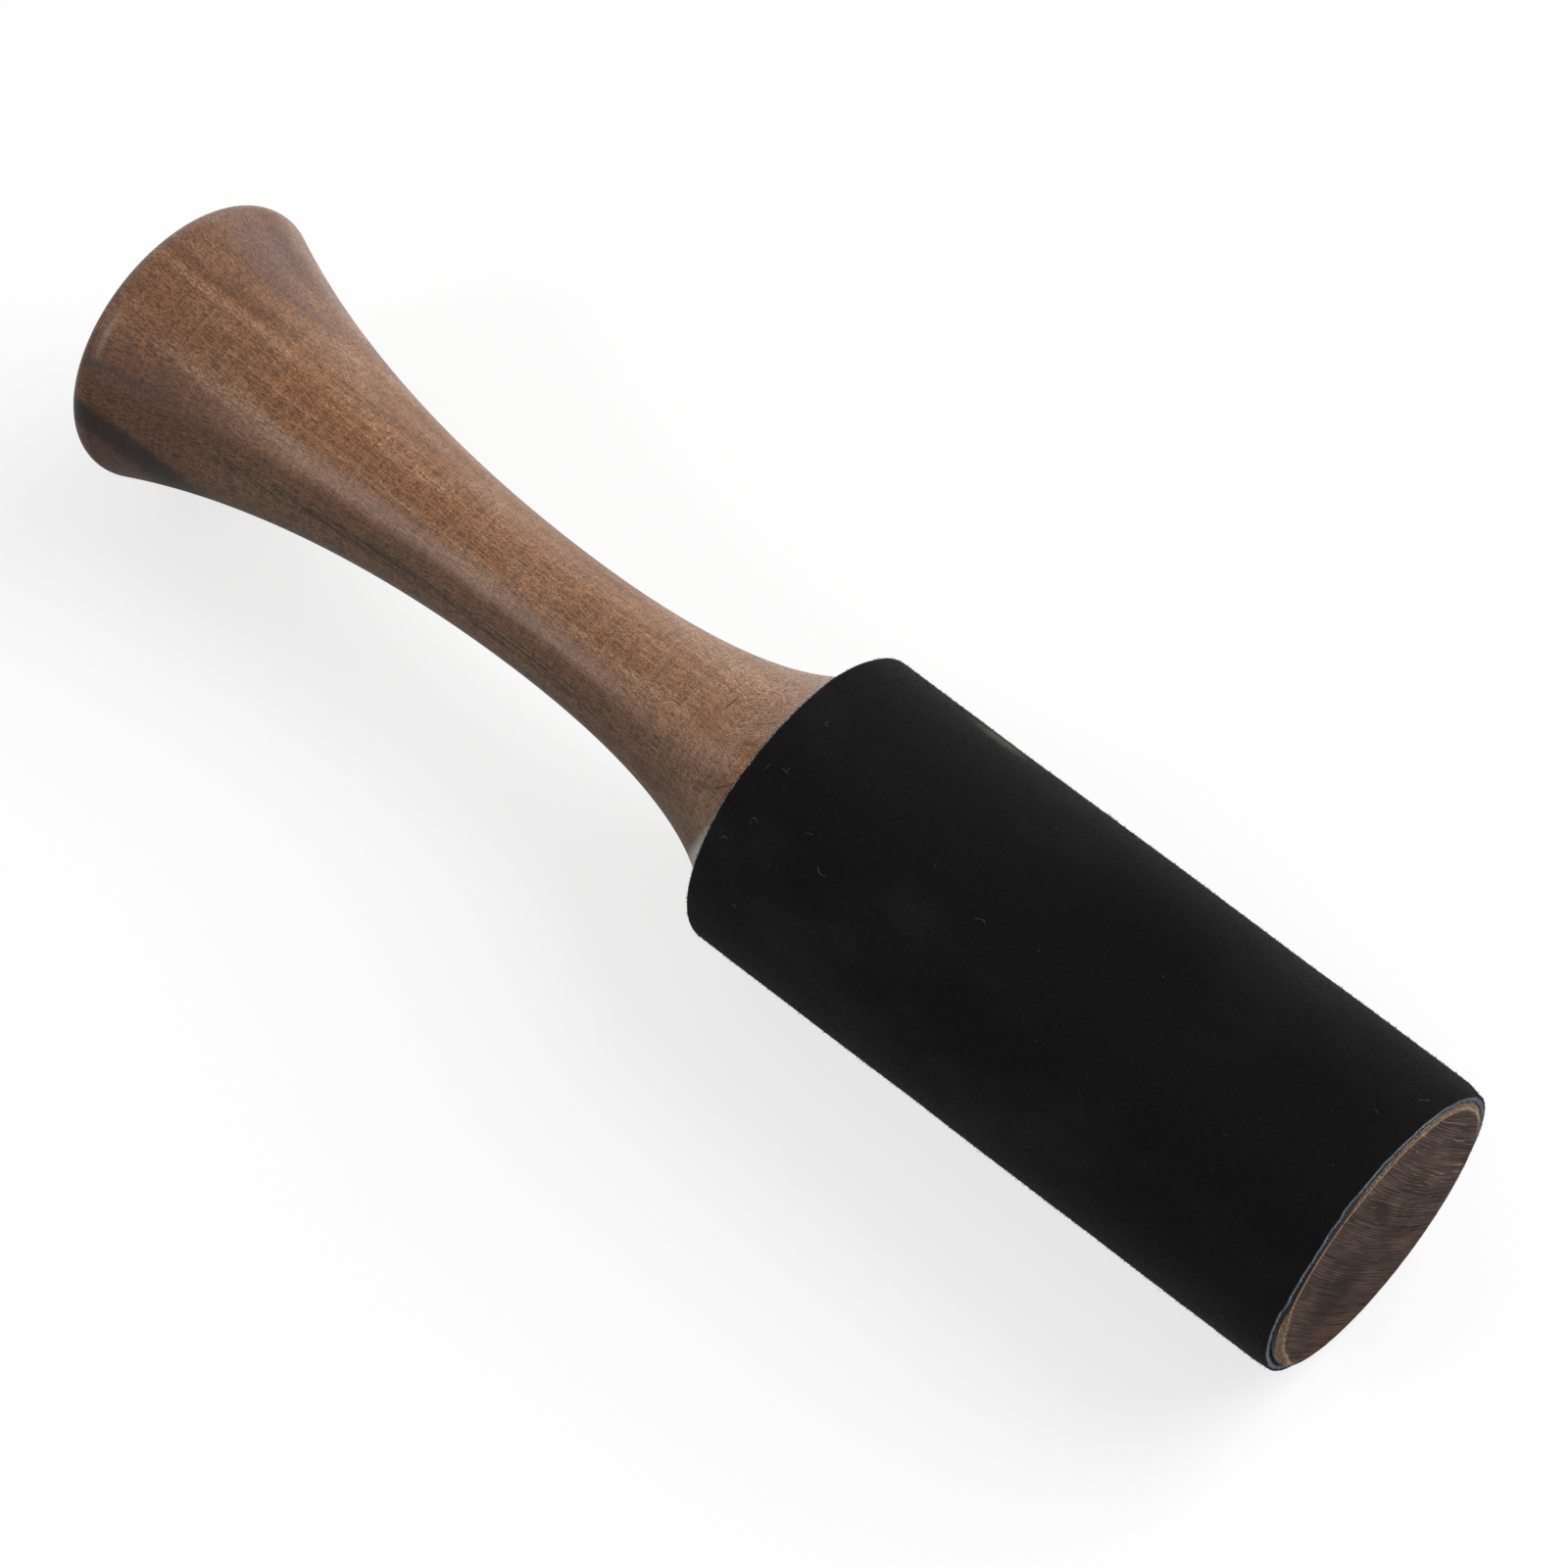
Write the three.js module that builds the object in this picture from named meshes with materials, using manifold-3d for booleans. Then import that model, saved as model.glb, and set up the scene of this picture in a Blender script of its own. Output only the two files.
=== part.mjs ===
// Singing bowl mallet. One hardwood body is turned in a single piece: a domed pommel, a long
// waisted grip, a flared neck and a plain head. A strip of suede is wrapped round the head and
// held by a film of contact glue, so its two ends meet in one straight butt seam.
// Millimetres. The mallet lies on its side: +X runs along its axis to the sawn striking end,
// +Z is up, and the origin is on the ground below the middle of its length.

import * as THREE from "three";
import { mergeVertices } from "three/addons/utils/BufferGeometryUtils.js";
import Module from "manifold-3d";

const wasm = await Module();
wasm.setup();

// Head: the plain end of the turned body, under the suede
const HEAD_LENGTH = 97.3; // from the shoulder to the sawn end
const SHOULDER_DIAMETER = 42.3;
const SAWN_END_DIAMETER = 40.9; // the head tapers a little towards the end that strikes
const ARRIS_BREAK = 0.4; // where the saw tore the corner of the sawn end

// Handle: from the shoulder to the widest ring of the pommel
const HANDLE_LENGTH = 116.6;
const WAIST_DIAMETER = 18.7;
const WAIST_TO_SHOULDER = 45.5;
const NECK_SLOPE = THREE.MathUtils.degToRad(53); // how steeply the neck runs into the shoulder

// Pommel
const POMMEL_DIAMETER = 44.2;
const RIM_RADIUS = 3.4; // the round-over of its rim
const DOME_RADIUS = 49; // the low dome of its end
const GRIP_SLOPE = THREE.MathUtils.degToRad(23.5); // how steeply the grip runs out to the rim

// How far each curve keeps its first and last direction, as shares of that curve's own length
const gripHandleShares = { rim: 0.305, waist: 0.331 };
const neckHandleShares = { waist: 0.383, shoulder: 0.265 };

// Suede sleeve and the glue under it
const SUEDE_THICKNESS = 1.3;
const GLUE_THICKNESS = 0.2;
const GLUE_SETBACK = 1.2; // the film stops short of both ends of the sleeve
const FIT_GAP = 0.05; // clearance on each face of the glue film
const RIM_SOFTNESS = 0.5; // the nap rounds the sleeve's rim beside the neck
const END_SETBACK = 0.65; // the wood stands proud of the suede at the sawn end
const END_SKEW = 0.7; // the suede was cut this much out of square, across its width
const SEAM_GAP = 0.3;
const SEAM_FROM_TOP = THREE.MathUtils.degToRad(71); // round the head from the top, towards +Y
const SKEW_FROM_TOP = THREE.MathUtils.degToRad(64); // the side where the suede reaches furthest

// How finely the round forms are divided
const FACETS = 48;
const DOME_STEPS = 6;
const RIM_STEPS = 8;
const GRIP_STEPS = 18;
const NECK_STEPS = 16;
const SOFT_STEPS = 3;
const OVERRUN = 2; // how far a cutting block passes the piece that it cuts

// Sizes that follow
const shoulderRadius = SHOULDER_DIAMETER / 2;
const sawnEndRadius = SAWN_END_DIAMETER / 2;
const pommelRadius = POMMEL_DIAMETER / 2;
const waistRadius = WAIST_DIAMETER / 2;
const glueInside = FIT_GAP;
const glueOutside = glueInside + GLUE_THICKNESS;
const suedeInside = glueOutside + FIT_GAP;
const suedeOutside = suedeInside + SUEDE_THICKNESS;

// The dome is a ball centred on the axis that the round of the rim touches from inside
const rimCentreRadius = pommelRadius - RIM_RADIUS;
const domeCentreReach = DOME_RADIUS - RIM_RADIUS;
const domeHalfAngle = Math.asin(rimCentreRadius / domeCentreReach);
const domeRise = DOME_RADIUS - domeCentreReach * Math.cos(domeHalfAngle);

const overallLength = domeRise + HANDLE_LENGTH + HEAD_LENGTH;
const sawnEndX = overallLength / 2;
const shoulderX = sawnEndX - HEAD_LENGTH;
const waistX = shoulderX - WAIST_TO_SHOULDER;
const pommelX = shoulderX - HANDLE_LENGTH;
const sleeveLength = HEAD_LENGTH - END_SETBACK;

// The sleeve rests on the flat of one facet, so the axis lies this far above the ground
const facetFlat = Math.cos(Math.PI / FACETS);
const axisHeight = (shoulderRadius + suedeOutside) * facetFlat;

// A profile point is held as (radius, distance along the axis), which is what a lathe takes

function coreRadiusAt(x) {
  return THREE.MathUtils.mapLinear(x, shoulderX, sawnEndX, shoulderRadius, sawnEndRadius);
}

function arcPoints(centreRadius, centreX, radius, fromAngle, toAngle, steps) {
  // angles are measured from the way back along the axis, towards the outside
  const points = [];
  for (let i = 0; i <= steps; i += 1) {
    const angle = THREE.MathUtils.lerp(fromAngle, toAngle, i / steps);
    const x = centreX - radius * Math.cos(angle);
    points.push(new THREE.Vector2(centreRadius + radius * Math.sin(angle), x));
  }
  return points;
}

function curvePoints(start, startHandle, endHandle, end, steps) {
  const curve = new THREE.CubicBezierCurve(start, startHandle, endHandle, end);
  return curve.getPoints(steps);
}

function joined(...stretches) {
  // each stretch starts where the last one ended, so its first point is left out
  return stretches.reduce((all, stretch) => all.concat(stretch.slice(1)));
}

function pommelProfile() {
  const domeCentreX = pommelX + domeCentreReach * Math.cos(domeHalfAngle);
  const dome = arcPoints(0, domeCentreX, DOME_RADIUS, 0, domeHalfAngle, DOME_STEPS);
  const rimEnd = Math.PI / 2 + GRIP_SLOPE;
  const rim = arcPoints(rimCentreRadius, pommelX, RIM_RADIUS, domeHalfAngle, rimEnd, RIM_STEPS);
  return joined(dome, rim);
}

function gripProfile(start) {
  const end = new THREE.Vector2(waistRadius, waistX);
  const length = end.y - start.y;
  const rimReach = length * gripHandleShares.rim;
  const waistReach = length * gripHandleShares.waist;
  const startHandle = new THREE.Vector2(start.x - rimReach * Math.tan(GRIP_SLOPE), start.y + rimReach);
  const endHandle = new THREE.Vector2(end.x, end.y - waistReach);
  return curvePoints(start, startHandle, endHandle, end, GRIP_STEPS);
}

function neckProfile() {
  const start = new THREE.Vector2(waistRadius, waistX);
  const end = new THREE.Vector2(shoulderRadius, shoulderX);
  const waistReach = WAIST_TO_SHOULDER * neckHandleShares.waist;
  const shoulderReach = WAIST_TO_SHOULDER * neckHandleShares.shoulder;
  const startHandle = new THREE.Vector2(start.x, start.y + waistReach);
  const endHandle = new THREE.Vector2(
    end.x - shoulderReach * Math.sin(NECK_SLOPE),
    end.y - shoulderReach * Math.cos(NECK_SLOPE),
  );
  return curvePoints(start, startHandle, endHandle, end, NECK_STEPS);
}

function headProfile() {
  const breakX = sawnEndX - ARRIS_BREAK;
  return [
    new THREE.Vector2(shoulderRadius, shoulderX),
    new THREE.Vector2(coreRadiusAt(breakX), breakX),
    new THREE.Vector2(sawnEndRadius - ARRIS_BREAK, sawnEndX),
    new THREE.Vector2(0, sawnEndX),
  ];
}

function ringProfile(inside, outside, fromX, toX, softness) {
  // a closed wall that follows the head's taper, from its outer edge round to its inner one
  const softCentre = coreRadiusAt(fromX) + outside - softness;
  const soft = softness > 0
    ? arcPoints(softCentre, fromX + softness, softness, 0, Math.PI / 2, SOFT_STEPS)
    : [new THREE.Vector2(softCentre, fromX)];
  return [
    ...soft,
    new THREE.Vector2(coreRadiusAt(toX) + outside, toX),
    new THREE.Vector2(coreRadiusAt(toX) + inside, toX),
    new THREE.Vector2(coreRadiusAt(fromX) + inside, fromX),
    soft[0].clone(),
  ];
}

function turned(profile) {
  // the lathe turns about its Y axis, which is then laid along +X, with a facet facing down
  const geometry = new THREE.LatheGeometry(profile, FACETS, Math.PI / FACETS);
  geometry.rotateZ(-Math.PI / 2);
  return geometry;
}

function toSolid(geometry) {
  const bare = geometry.clone();
  bare.deleteAttribute("normal");
  bare.deleteAttribute("uv");
  const merged = mergeVertices(bare);
  return new wasm.Manifold(new wasm.Mesh({
    numProp: 3,
    vertProperties: new Float32Array(merged.attributes.position.array),
    triVerts: new Uint32Array(merged.index.array),
  }));
}

function toGeometry(solid) {
  const mesh = solid.getMesh();
  const geometry = new THREE.BufferGeometry();
  geometry.setAttribute("position", new THREE.BufferAttribute(mesh.vertProperties, 3));
  geometry.setIndex(new THREE.BufferAttribute(mesh.triVerts, 1));
  geometry.computeVertexNormals();
  return geometry;
}

function aroundHead(angleFromTop, radius) {
  // a direction round the axis, from the top towards +Y, as a place at that radius
  return new THREE.Vector3(0, radius * Math.sin(angleFromTop), radius * Math.cos(angleFromTop));
}

function seamBlock() {
  // a thin blade that stands along the head and reaches through the wall of the sleeve
  const deep = SUEDE_THICKNESS + OVERRUN;
  const long = HEAD_LENGTH + 2 * OVERRUN;
  const blade = new THREE.BoxGeometry(long, SEAM_GAP, deep);
  const place = aroundHead(SEAM_FROM_TOP, shoulderRadius + suedeInside + SUEDE_THICKNESS / 2);
  blade.rotateX(-SEAM_FROM_TOP);
  blade.translate((shoulderX + sawnEndX) / 2, place.y, place.z);
  return blade;
}

function trimBlock() {
  // a block past the sleeve's end, turned a little so that the suede is cut out of square
  const wide = 2 * (shoulderRadius + suedeOutside + OVERRUN);
  const block = new THREE.BoxGeometry(wide, wide, wide);
  block.translate(wide / 2, 0, 0);
  const turnAxis = aroundHead(SKEW_FROM_TOP + Math.PI / 2, 1);
  const skewAngle = Math.atan(END_SKEW / (2 * (sawnEndRadius + suedeOutside)));
  block.applyMatrix4(new THREE.Matrix4().makeRotationAxis(turnAxis, skewAngle));
  block.translate(shoulderX + sleeveLength, 0, 0);
  return block;
}

function bodyGeometry() {
  const pommel = pommelProfile();
  const grip = gripProfile(pommel[pommel.length - 1]);
  return turned(joined(pommel, grip, neckProfile(), headProfile()));
}

function glueGeometry() {
  const fromX = shoulderX + GLUE_SETBACK;
  const toX = shoulderX + sleeveLength - END_SKEW / 2 - GLUE_SETBACK;
  return turned(ringProfile(glueInside, glueOutside, fromX, toX, 0));
}

function sleeveGeometry() {
  const wall = turned(ringProfile(suedeInside, suedeOutside, shoulderX, sawnEndX, RIM_SOFTNESS));
  const strip = toSolid(wall).subtract(toSolid(trimBlock())).subtract(toSolid(seamBlock()));
  return toGeometry(strip);
}

const materials = {
  wood: new THREE.MeshStandardMaterial({ color: "#8a664e", roughness: 0.48, metalness: 0 }),
  glue: new THREE.MeshStandardMaterial({ color: "#8c6a3a", roughness: 0.55, metalness: 0 }),
  suede: new THREE.MeshStandardMaterial({ color: "#19191b", roughness: 0.96, metalness: 0 }),
};

function named(name, geometry, material) {
  const mesh = new THREE.Mesh(geometry, material);
  mesh.name = name;
  return mesh;
}

const mallet = new THREE.Group();
mallet.position.z = axisHeight;
mallet.add(named("turned_body", bodyGeometry(), materials.wood));
mallet.add(named("glue_film", glueGeometry(), materials.glue));
mallet.add(named("suede_sleeve", sleeveGeometry(), materials.suede));

export default mallet;
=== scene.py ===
"""Singing bowl mallet: the looks of its turned hardwood body and of the suede round its head.

The mallet lies on its side. +X runs along its axis to the sawn end, +Z is up and the ground is
z = 0. Lengths are metres, and the figure of the wood is placed in millimetres from the axis.
An angle round the axis is measured from the top towards +Y.
"""

import math
import random

import bpy
from bpy.props import FloatProperty, FloatVectorProperty, IntProperty, PointerProperty
from mathutils import Matrix, Vector


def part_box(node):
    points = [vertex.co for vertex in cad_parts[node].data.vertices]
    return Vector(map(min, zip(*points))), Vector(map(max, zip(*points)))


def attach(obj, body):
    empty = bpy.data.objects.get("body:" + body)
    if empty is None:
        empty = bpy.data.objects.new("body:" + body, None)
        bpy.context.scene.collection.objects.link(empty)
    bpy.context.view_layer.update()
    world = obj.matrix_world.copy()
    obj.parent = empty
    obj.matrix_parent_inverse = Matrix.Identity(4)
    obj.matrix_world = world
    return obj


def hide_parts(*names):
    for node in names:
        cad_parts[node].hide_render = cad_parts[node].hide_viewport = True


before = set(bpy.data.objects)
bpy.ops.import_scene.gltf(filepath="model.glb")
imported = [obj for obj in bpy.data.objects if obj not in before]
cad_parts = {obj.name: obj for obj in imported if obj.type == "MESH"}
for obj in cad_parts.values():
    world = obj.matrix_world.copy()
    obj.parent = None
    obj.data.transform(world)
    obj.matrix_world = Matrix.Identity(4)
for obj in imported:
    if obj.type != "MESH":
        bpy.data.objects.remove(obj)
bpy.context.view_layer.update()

bl_info = {
    "name": "Singing bowl mallet",
    "version": (1, 0, 0),
    "blender": (4, 5, 0),
    "location": "View3D > Sidebar > Mallet",
    "description": "Makes a turned hardwood mallet with a suede wrap round its head",
    "category": "Add Mesh",
}

MM = 0.001
BODY = "root"

# What the frame gives: the box of the solids, the axis and both ends
WOOD_LOW, WOOD_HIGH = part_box("turned_body")
WRAP_LOW, WRAP_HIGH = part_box("suede_sleeve")
SOLID_FACETS = 48
FACET_FLAT = math.cos(math.pi / SOLID_FACETS)
AXIS_HEIGHT = (WOOD_LOW.z + WOOD_HIGH.z) / 2
POMMEL_RADIUS = (WOOD_HIGH.z - WOOD_LOW.z) / 2 / FACET_FLAT
WRAP_RADIUS = (WRAP_HIGH.z - WRAP_LOW.z) / 2 / FACET_FLAT
SHOULDER_X = WRAP_LOW.x
SAWN_END_X = WOOD_HIGH.x


def screen_colour(red, green, blue):
    """A colour as a screen shows it, 0 to 255, turned into the linear light that shaders use."""
    shares = (red / 255, green / 255, blue / 255)
    return tuple(s / 12.92 if s <= 0.04045 else ((s + 0.055) / 1.055) ** 2.4 for s in shares)


def length(name, description, default):
    return FloatProperty(name=name, description=description, default=default, unit="LENGTH", precision=5)


def turn(name, description, degrees):
    default = math.radians(degrees)
    return FloatProperty(name=name, description=description, default=default, subtype="ANGLE")


def colour(name, description, red, green, blue):
    return FloatVectorProperty(
        name=name, description=description, default=screen_colour(red, green, blue),
        subtype="COLOR", size=3, min=0, max=1,
    )


def share(name, description, default):
    return FloatProperty(
        name=name, description=description, default=default, min=0, max=1, subtype="FACTOR",
    )


def amount(name, description, default, unit="NONE"):
    return FloatProperty(name=name, description=description, default=default, unit=unit)


def count(name, description, default):
    return IntProperty(name=name, description=description, default=default, min=0)


class WoodSizes(bpy.types.PropertyGroup):
    """Sizes of the turned body."""

    shoulder_radius: length("Shoulder radius", "Head beside the neck", 21.15 * MM)
    sawn_end_radius: length("Sawn end radius", "Head at the end that strikes", 20.45 * MM)
    handle_length: length("Handle length", "Shoulder to the widest ring of the pommel", 116.6 * MM)
    waist_radius: length("Waist radius", "Thinnest place of the grip", 9.35 * MM)
    waist_to_shoulder: length("Waist to shoulder", "How long the neck is", 45.5 * MM)
    neck_slope: turn("Neck slope", "How steeply the neck meets the shoulder", 53)
    pommel_radius: length("Pommel radius", "Widest ring of the pommel", POMMEL_RADIUS)
    rim_radius: length("Rim radius", "Round-over of the pommel's rim", 3.4 * MM)
    dome_radius: length("Dome radius", "Low dome of the pommel's end", 49 * MM)
    grip_slope: turn("Grip slope", "How steeply the grip runs out to the rim", 23.5)
    tear_width: length("Tear width", "Widest tear along the arris of the sawn end", 1.9 * MM)
    tear_depth: length("Tear depth", "Depth of the deepest tear", 0.9 * MM)
    saw_depth: length("Saw depth", "How deep the saw's marks are", 0.09 * MM)
    saw_radius: length("Saw radius", "Curve of the marks that the blade left", 180 * MM)
    segments: count("Segments", "Faces round the body", 288)
    seed: count("Seed", "Start of the random tears and marks", 4)


class WrapSizes(bpy.types.PropertyGroup):
    """Sizes of the suede wrap."""

    thickness: length("Thickness", "Thickness of the suede", 1.3 * MM)
    taper: length("Taper", "How much thinner in radius the wrap is at the sawn end", 0.7 * MM)
    setback: length("Setback", "How far the wood stands proud at the sawn end", 0.65 * MM)
    skew: length("Skew", "How far the end is cut out of square", 0.7 * MM)
    skew_angle: turn("Skew angle", "Side where the suede reaches furthest", 64)
    seam_angle: turn("Seam angle", "Where the two ends of the strip meet", 71)
    seam_gap: length("Seam gap", "Gap between the two ends of the strip", 0.3 * MM)
    edge_roll: length("Edge roll", "How far the nap rounds the rim and the seam", 0.6 * MM)
    unevenness: length("Unevenness", "How far the skin lies off a true cone", 0.16 * MM)
    segments: count("Segments", "Faces round the wrap", 248)
    rows: count("Rows", "Faces along the wrap", 150)
    seed: count("Seed", "Start of the random waves and fibres", 11)


class FibreSizes(bpy.types.PropertyGroup):
    """Sizes and numbers of the fibres that stand up, and of the loose ones."""

    splinter_count: count("Splinters", "Splinters along the torn arris", 1500)
    splinter_length: length("Splinter length", "Length of one splinter", 0.5 * MM)
    splinter_width: length("Splinter width", "Thickness of one splinter", 0.09 * MM)
    nap_count: count("Nap fibres", "Fibres that stand up from the suede", 42000)
    nap_length: length("Nap length", "Length of one nap fibre", 0.34 * MM)
    nap_width: length("Nap width", "Thickness of one nap fibre", 0.08 * MM)
    core_count: count("Core fibres", "Fibres that stand out of the cut edge", 2600)
    core_length: length("Core fibre length", "Length of one fibre of the cut edge", 0.32 * MM)
    rim_count: count("Rim fibres", "Fibres along the rim beside the neck", 900)
    rim_length: length("Rim fibre length", "Length of one fibre of the rim", 0.35 * MM)
    edge_width: length("Edge fibre width", "Thickness of the fibres of both edges", 0.05 * MM)
    lint_count: count("Lint", "Pieces of lint strewn on the suede at random", 60)
    lint_width: length("Lint width", "How thick a loose fibre is", 0.05 * MM)


class Finishes(bpy.types.PropertyGroup):
    """Colours of the wood, the suede and the glue."""

    golden: colour("Golden wood", "Main colour of the wood", 150, 101, 64)
    honey: colour("Honey streak", "Palest layers of the wood", 186, 144, 112)
    umber: colour("Umber streak", "Darker layers of the wood", 104, 67, 46)
    russet: colour("Russet layer", "Reddish layer beside the grey one", 120, 79, 58)
    grey_brown: colour("Grey-brown layer", "Layers on the low side", 130, 99, 75)
    slate: colour("Slate streak", "Bluish streak in the grey-brown layers", 52, 44, 40)
    chocolate: colour("Chocolate layer", "Darkest layer, low on the pommel", 34, 26, 22)
    plum: colour("Plum blotch", "Purplish patch on top of the pommel", 108, 70, 62)
    glow: colour("Knot glow", "Warm wood beside the knot", 146, 92, 56)
    pore: colour("Pores", "Open pores of the wood", 54, 34, 25)
    # Painted sheen: the neck beside the suede is painted this pale colour for the reflection that it
    # shows there; the same colour is also the pale line of the suede's rim
    pale_rim_and_painted_sheen: colour("Pale rim, painted neck sheen", "Painted sheen on the neck beside the suede, and the pale line of the suede's rim", 238, 231, 222)
    end_grain: colour("End grain", "Sawn end of the wood", 90, 71, 64)
    end_dark: colour("Dark end grain", "Darker lines of the sawn end", 36, 31, 29)
    end_pale: colour("Pale end grain", "Paler lines of the sawn end", 148, 124, 108)
    torn: colour("Torn fibres", "Fibres torn by the saw", 198, 174, 150)
    arris: colour("Arris", "Wood that shows at the torn arris", 98, 72, 56)
    suede: colour("Suede", "Nap of the suede", 19, 19, 19)
    suede_worn: colour("Worn suede", "Where the nap is brushed up or worn", 34, 34, 35)
    core: colour("Suede core", "Undyed core in the cut edge", 152, 162, 182)
    lint: colour("Lint", "Specks of lint", 138, 136, 131)
    glue: colour("Glue", "Dried contact glue", 140, 106, 58)


class Studio(bpy.types.PropertyGroup):
    """The floor, the lamps and the camera."""

    floor: colour("Floor", "Colour of the floor", 250, 250, 250)
    bounce: share("Bounce", "How much light the floor throws back up", 0.46)
    drawn: share("Shadow strength", "How much of the floor's own shade the camera sees", 0.33)
    lift: share("Lift", "White added to the floor that the camera sees", 0.76)
    mirrored: share("Mirrored floor", "Light that reflections find on the floor in front", 0.03)
    mirrored_behind: share("Mirrored floor behind", "Light that they find behind the mallet", 0.55)
    back_glow: amount("Back glow", "Light that reflections find far behind it", 1.1)
    ambient: share("Ambient light", "Light that comes from all round", 0.36)
    side_power: amount("Side lamp", "Power of the low side lamp", 1.5, "POWER")
    top_power: amount("Top lamp", "Power of the lamp overhead", 9.6, "POWER")
    lens: amount("Lens", "Focal length of the camera", 108, "CAMERA")


def find_socket(sockets, key):
    """A socket that is in use, by its name, its identifier or its number."""
    used = [socket for socket in sockets if socket.enabled]
    if isinstance(key, int):
        return used[key]
    for socket in used:
        if key in (socket.name, socket.identifier):
            return socket
    raise KeyError(f"there is no socket {key} among {[socket.name for socket in used]}")


def sum_of(operation, swapped=False):
    """A method of Wire that adds a Math node, with the wire first or, swapped, second."""
    def add_node(self, value):
        values = (value, self) if swapped else (self, value)
        return self.graph.math(operation, *values)
    return add_node


class Wire:
    """One output of a node. Sums on wires add Math nodes, so node maths reads as maths."""

    def __init__(self, graph, node, output=0):
        self.graph = graph
        self.node = node
        self.socket = find_socket(node.outputs, output) if node.outputs else None

    def other(self, output):
        """Another output of the same node."""
        return Wire(self.graph, self.node, output)

    __add__, __radd__ = sum_of("ADD"), sum_of("ADD", swapped=True)
    __sub__, __rsub__ = sum_of("SUBTRACT"), sum_of("SUBTRACT", swapped=True)
    __mul__, __rmul__ = sum_of("MULTIPLY"), sum_of("MULTIPLY", swapped=True)
    __truediv__, __rtruediv__ = sum_of("DIVIDE"), sum_of("DIVIDE", swapped=True)

    def __neg__(self):
        return self * -1


class Graph:
    """A node tree that is being built, for a material, the world or a geometry group."""

    def __init__(self, tree):
        self.tree = tree

    def node(self, kind, settings=None, inputs=None, output=0):
        """Adds any node: its settings first, then the values or links of its sockets."""
        made = self.tree.nodes.new(kind)
        for name, value in (settings or {}).items():
            if name == "stops":
                self.set_stops(made.color_ramp, value)
            else:
                setattr(made, name, value)
        for key, value in (inputs or {}).items():
            self.feed(find_socket(made.inputs, key), value)
        return Wire(self, made, output)

    @staticmethod
    def set_stops(ramp, stops):
        while len(ramp.elements) < len(stops):
            ramp.elements.new(1)
        for element, (place, stop_colour) in zip(ramp.elements, stops):
            element.position = place
            element.color = (*stop_colour, 1)

    def feed(self, socket, value):
        for each in value if isinstance(value, list) else [value]:
            if isinstance(each, Wire):
                self.tree.links.new(each.socket, socket)
            elif socket.type == "RGBA":
                socket.default_value = (*each, 1)
            else:
                socket.default_value = each

    def math(self, operation, *values):
        return self.node("ShaderNodeMath", {"operation": operation}, dict(enumerate(values)))

    def vector_math(self, operation, first, second):
        return self.node("ShaderNodeVectorMath", {"operation": operation}, {0: first, 1: second})

    def distance(self, first, second):
        wire = self.vector_math("DISTANCE", first, second)
        return wire.other("Value")

    def vector(self, x, y, z):
        return self.node("ShaderNodeCombineXYZ", inputs={"X": x, "Y": y, "Z": z})

    def split(self, vector):
        first = self.node("ShaderNodeSeparateXYZ", inputs={"Vector": vector})
        return first, first.other("Y"), first.other("Z")

    def ramp_up(self, value, low, high, kind="SMOOTHSTEP", start=0.0, end=1.0):
        """Runs from start to end while value goes from low to high, and stays level outside."""
        return self.node(
            "ShaderNodeMapRange", {"interpolation_type": kind},
            {"Value": value, "From Min": low, "From Max": high, "To Min": start, "To Max": end},
        )

    def band(self, value, centre, half_width, softness):
        """1 within half_width of the centre, falling to 0 over the softness."""
        off = self.math("ABSOLUTE", value - centre)
        return self.ramp_up(off, half_width, half_width + softness, start=1.0, end=0.0)

    def window(self, value, rise, full, fade, gone):
        """0 up to rise, 1 from full to fade, and 0 again past gone."""
        return self.ramp_up(value, rise, full) * self.ramp_up(value, gone, fade)

    def where(self, fields, limits):
        """The product of masks. A limit names a field, and then either nothing, if it is a mask
        already, or the two places of a ramp, or the four of a window."""
        mask = 1.0
        shapes = {0: lambda value: value, 2: self.ramp_up, 4: self.window}
        for name, *ends in limits:
            mask = shapes[len(ends)](fields[name], *ends) * mask
        return mask

    def noise(self, vector, scale=1.0, detail=2.0, roughness=0.5):
        """Noise from 0 to 1, at one scale or at one for each direction."""
        if isinstance(scale, tuple):
            vector, scale = self.vector_math("MULTIPLY", vector, scale), 1.0
        return self.node(
            "ShaderNodeTexNoise", {},
            {"Vector": vector, "Scale": scale, "Detail": detail, "Roughness": roughness},
        )

    def mix(self, base, over, mask):
        """The colour over, laid on the colour base where the mask is 1."""
        return self.node(
            "ShaderNodeMix", {"data_type": "RGBA"}, {"Factor": mask, "A": base, "B": over}, "Result",
        )

    def shaded(self, base, amount):
        """A colour made lighter or darker by a number that is 1 where it stays."""
        grey = self.vector(amount, amount, amount)
        return self.node(
            "ShaderNodeMix", {"data_type": "RGBA", "blend_type": "MULTIPLY"},
            {"Factor": 1.0, "A": base, "B": grey}, "Result",
        )


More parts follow.
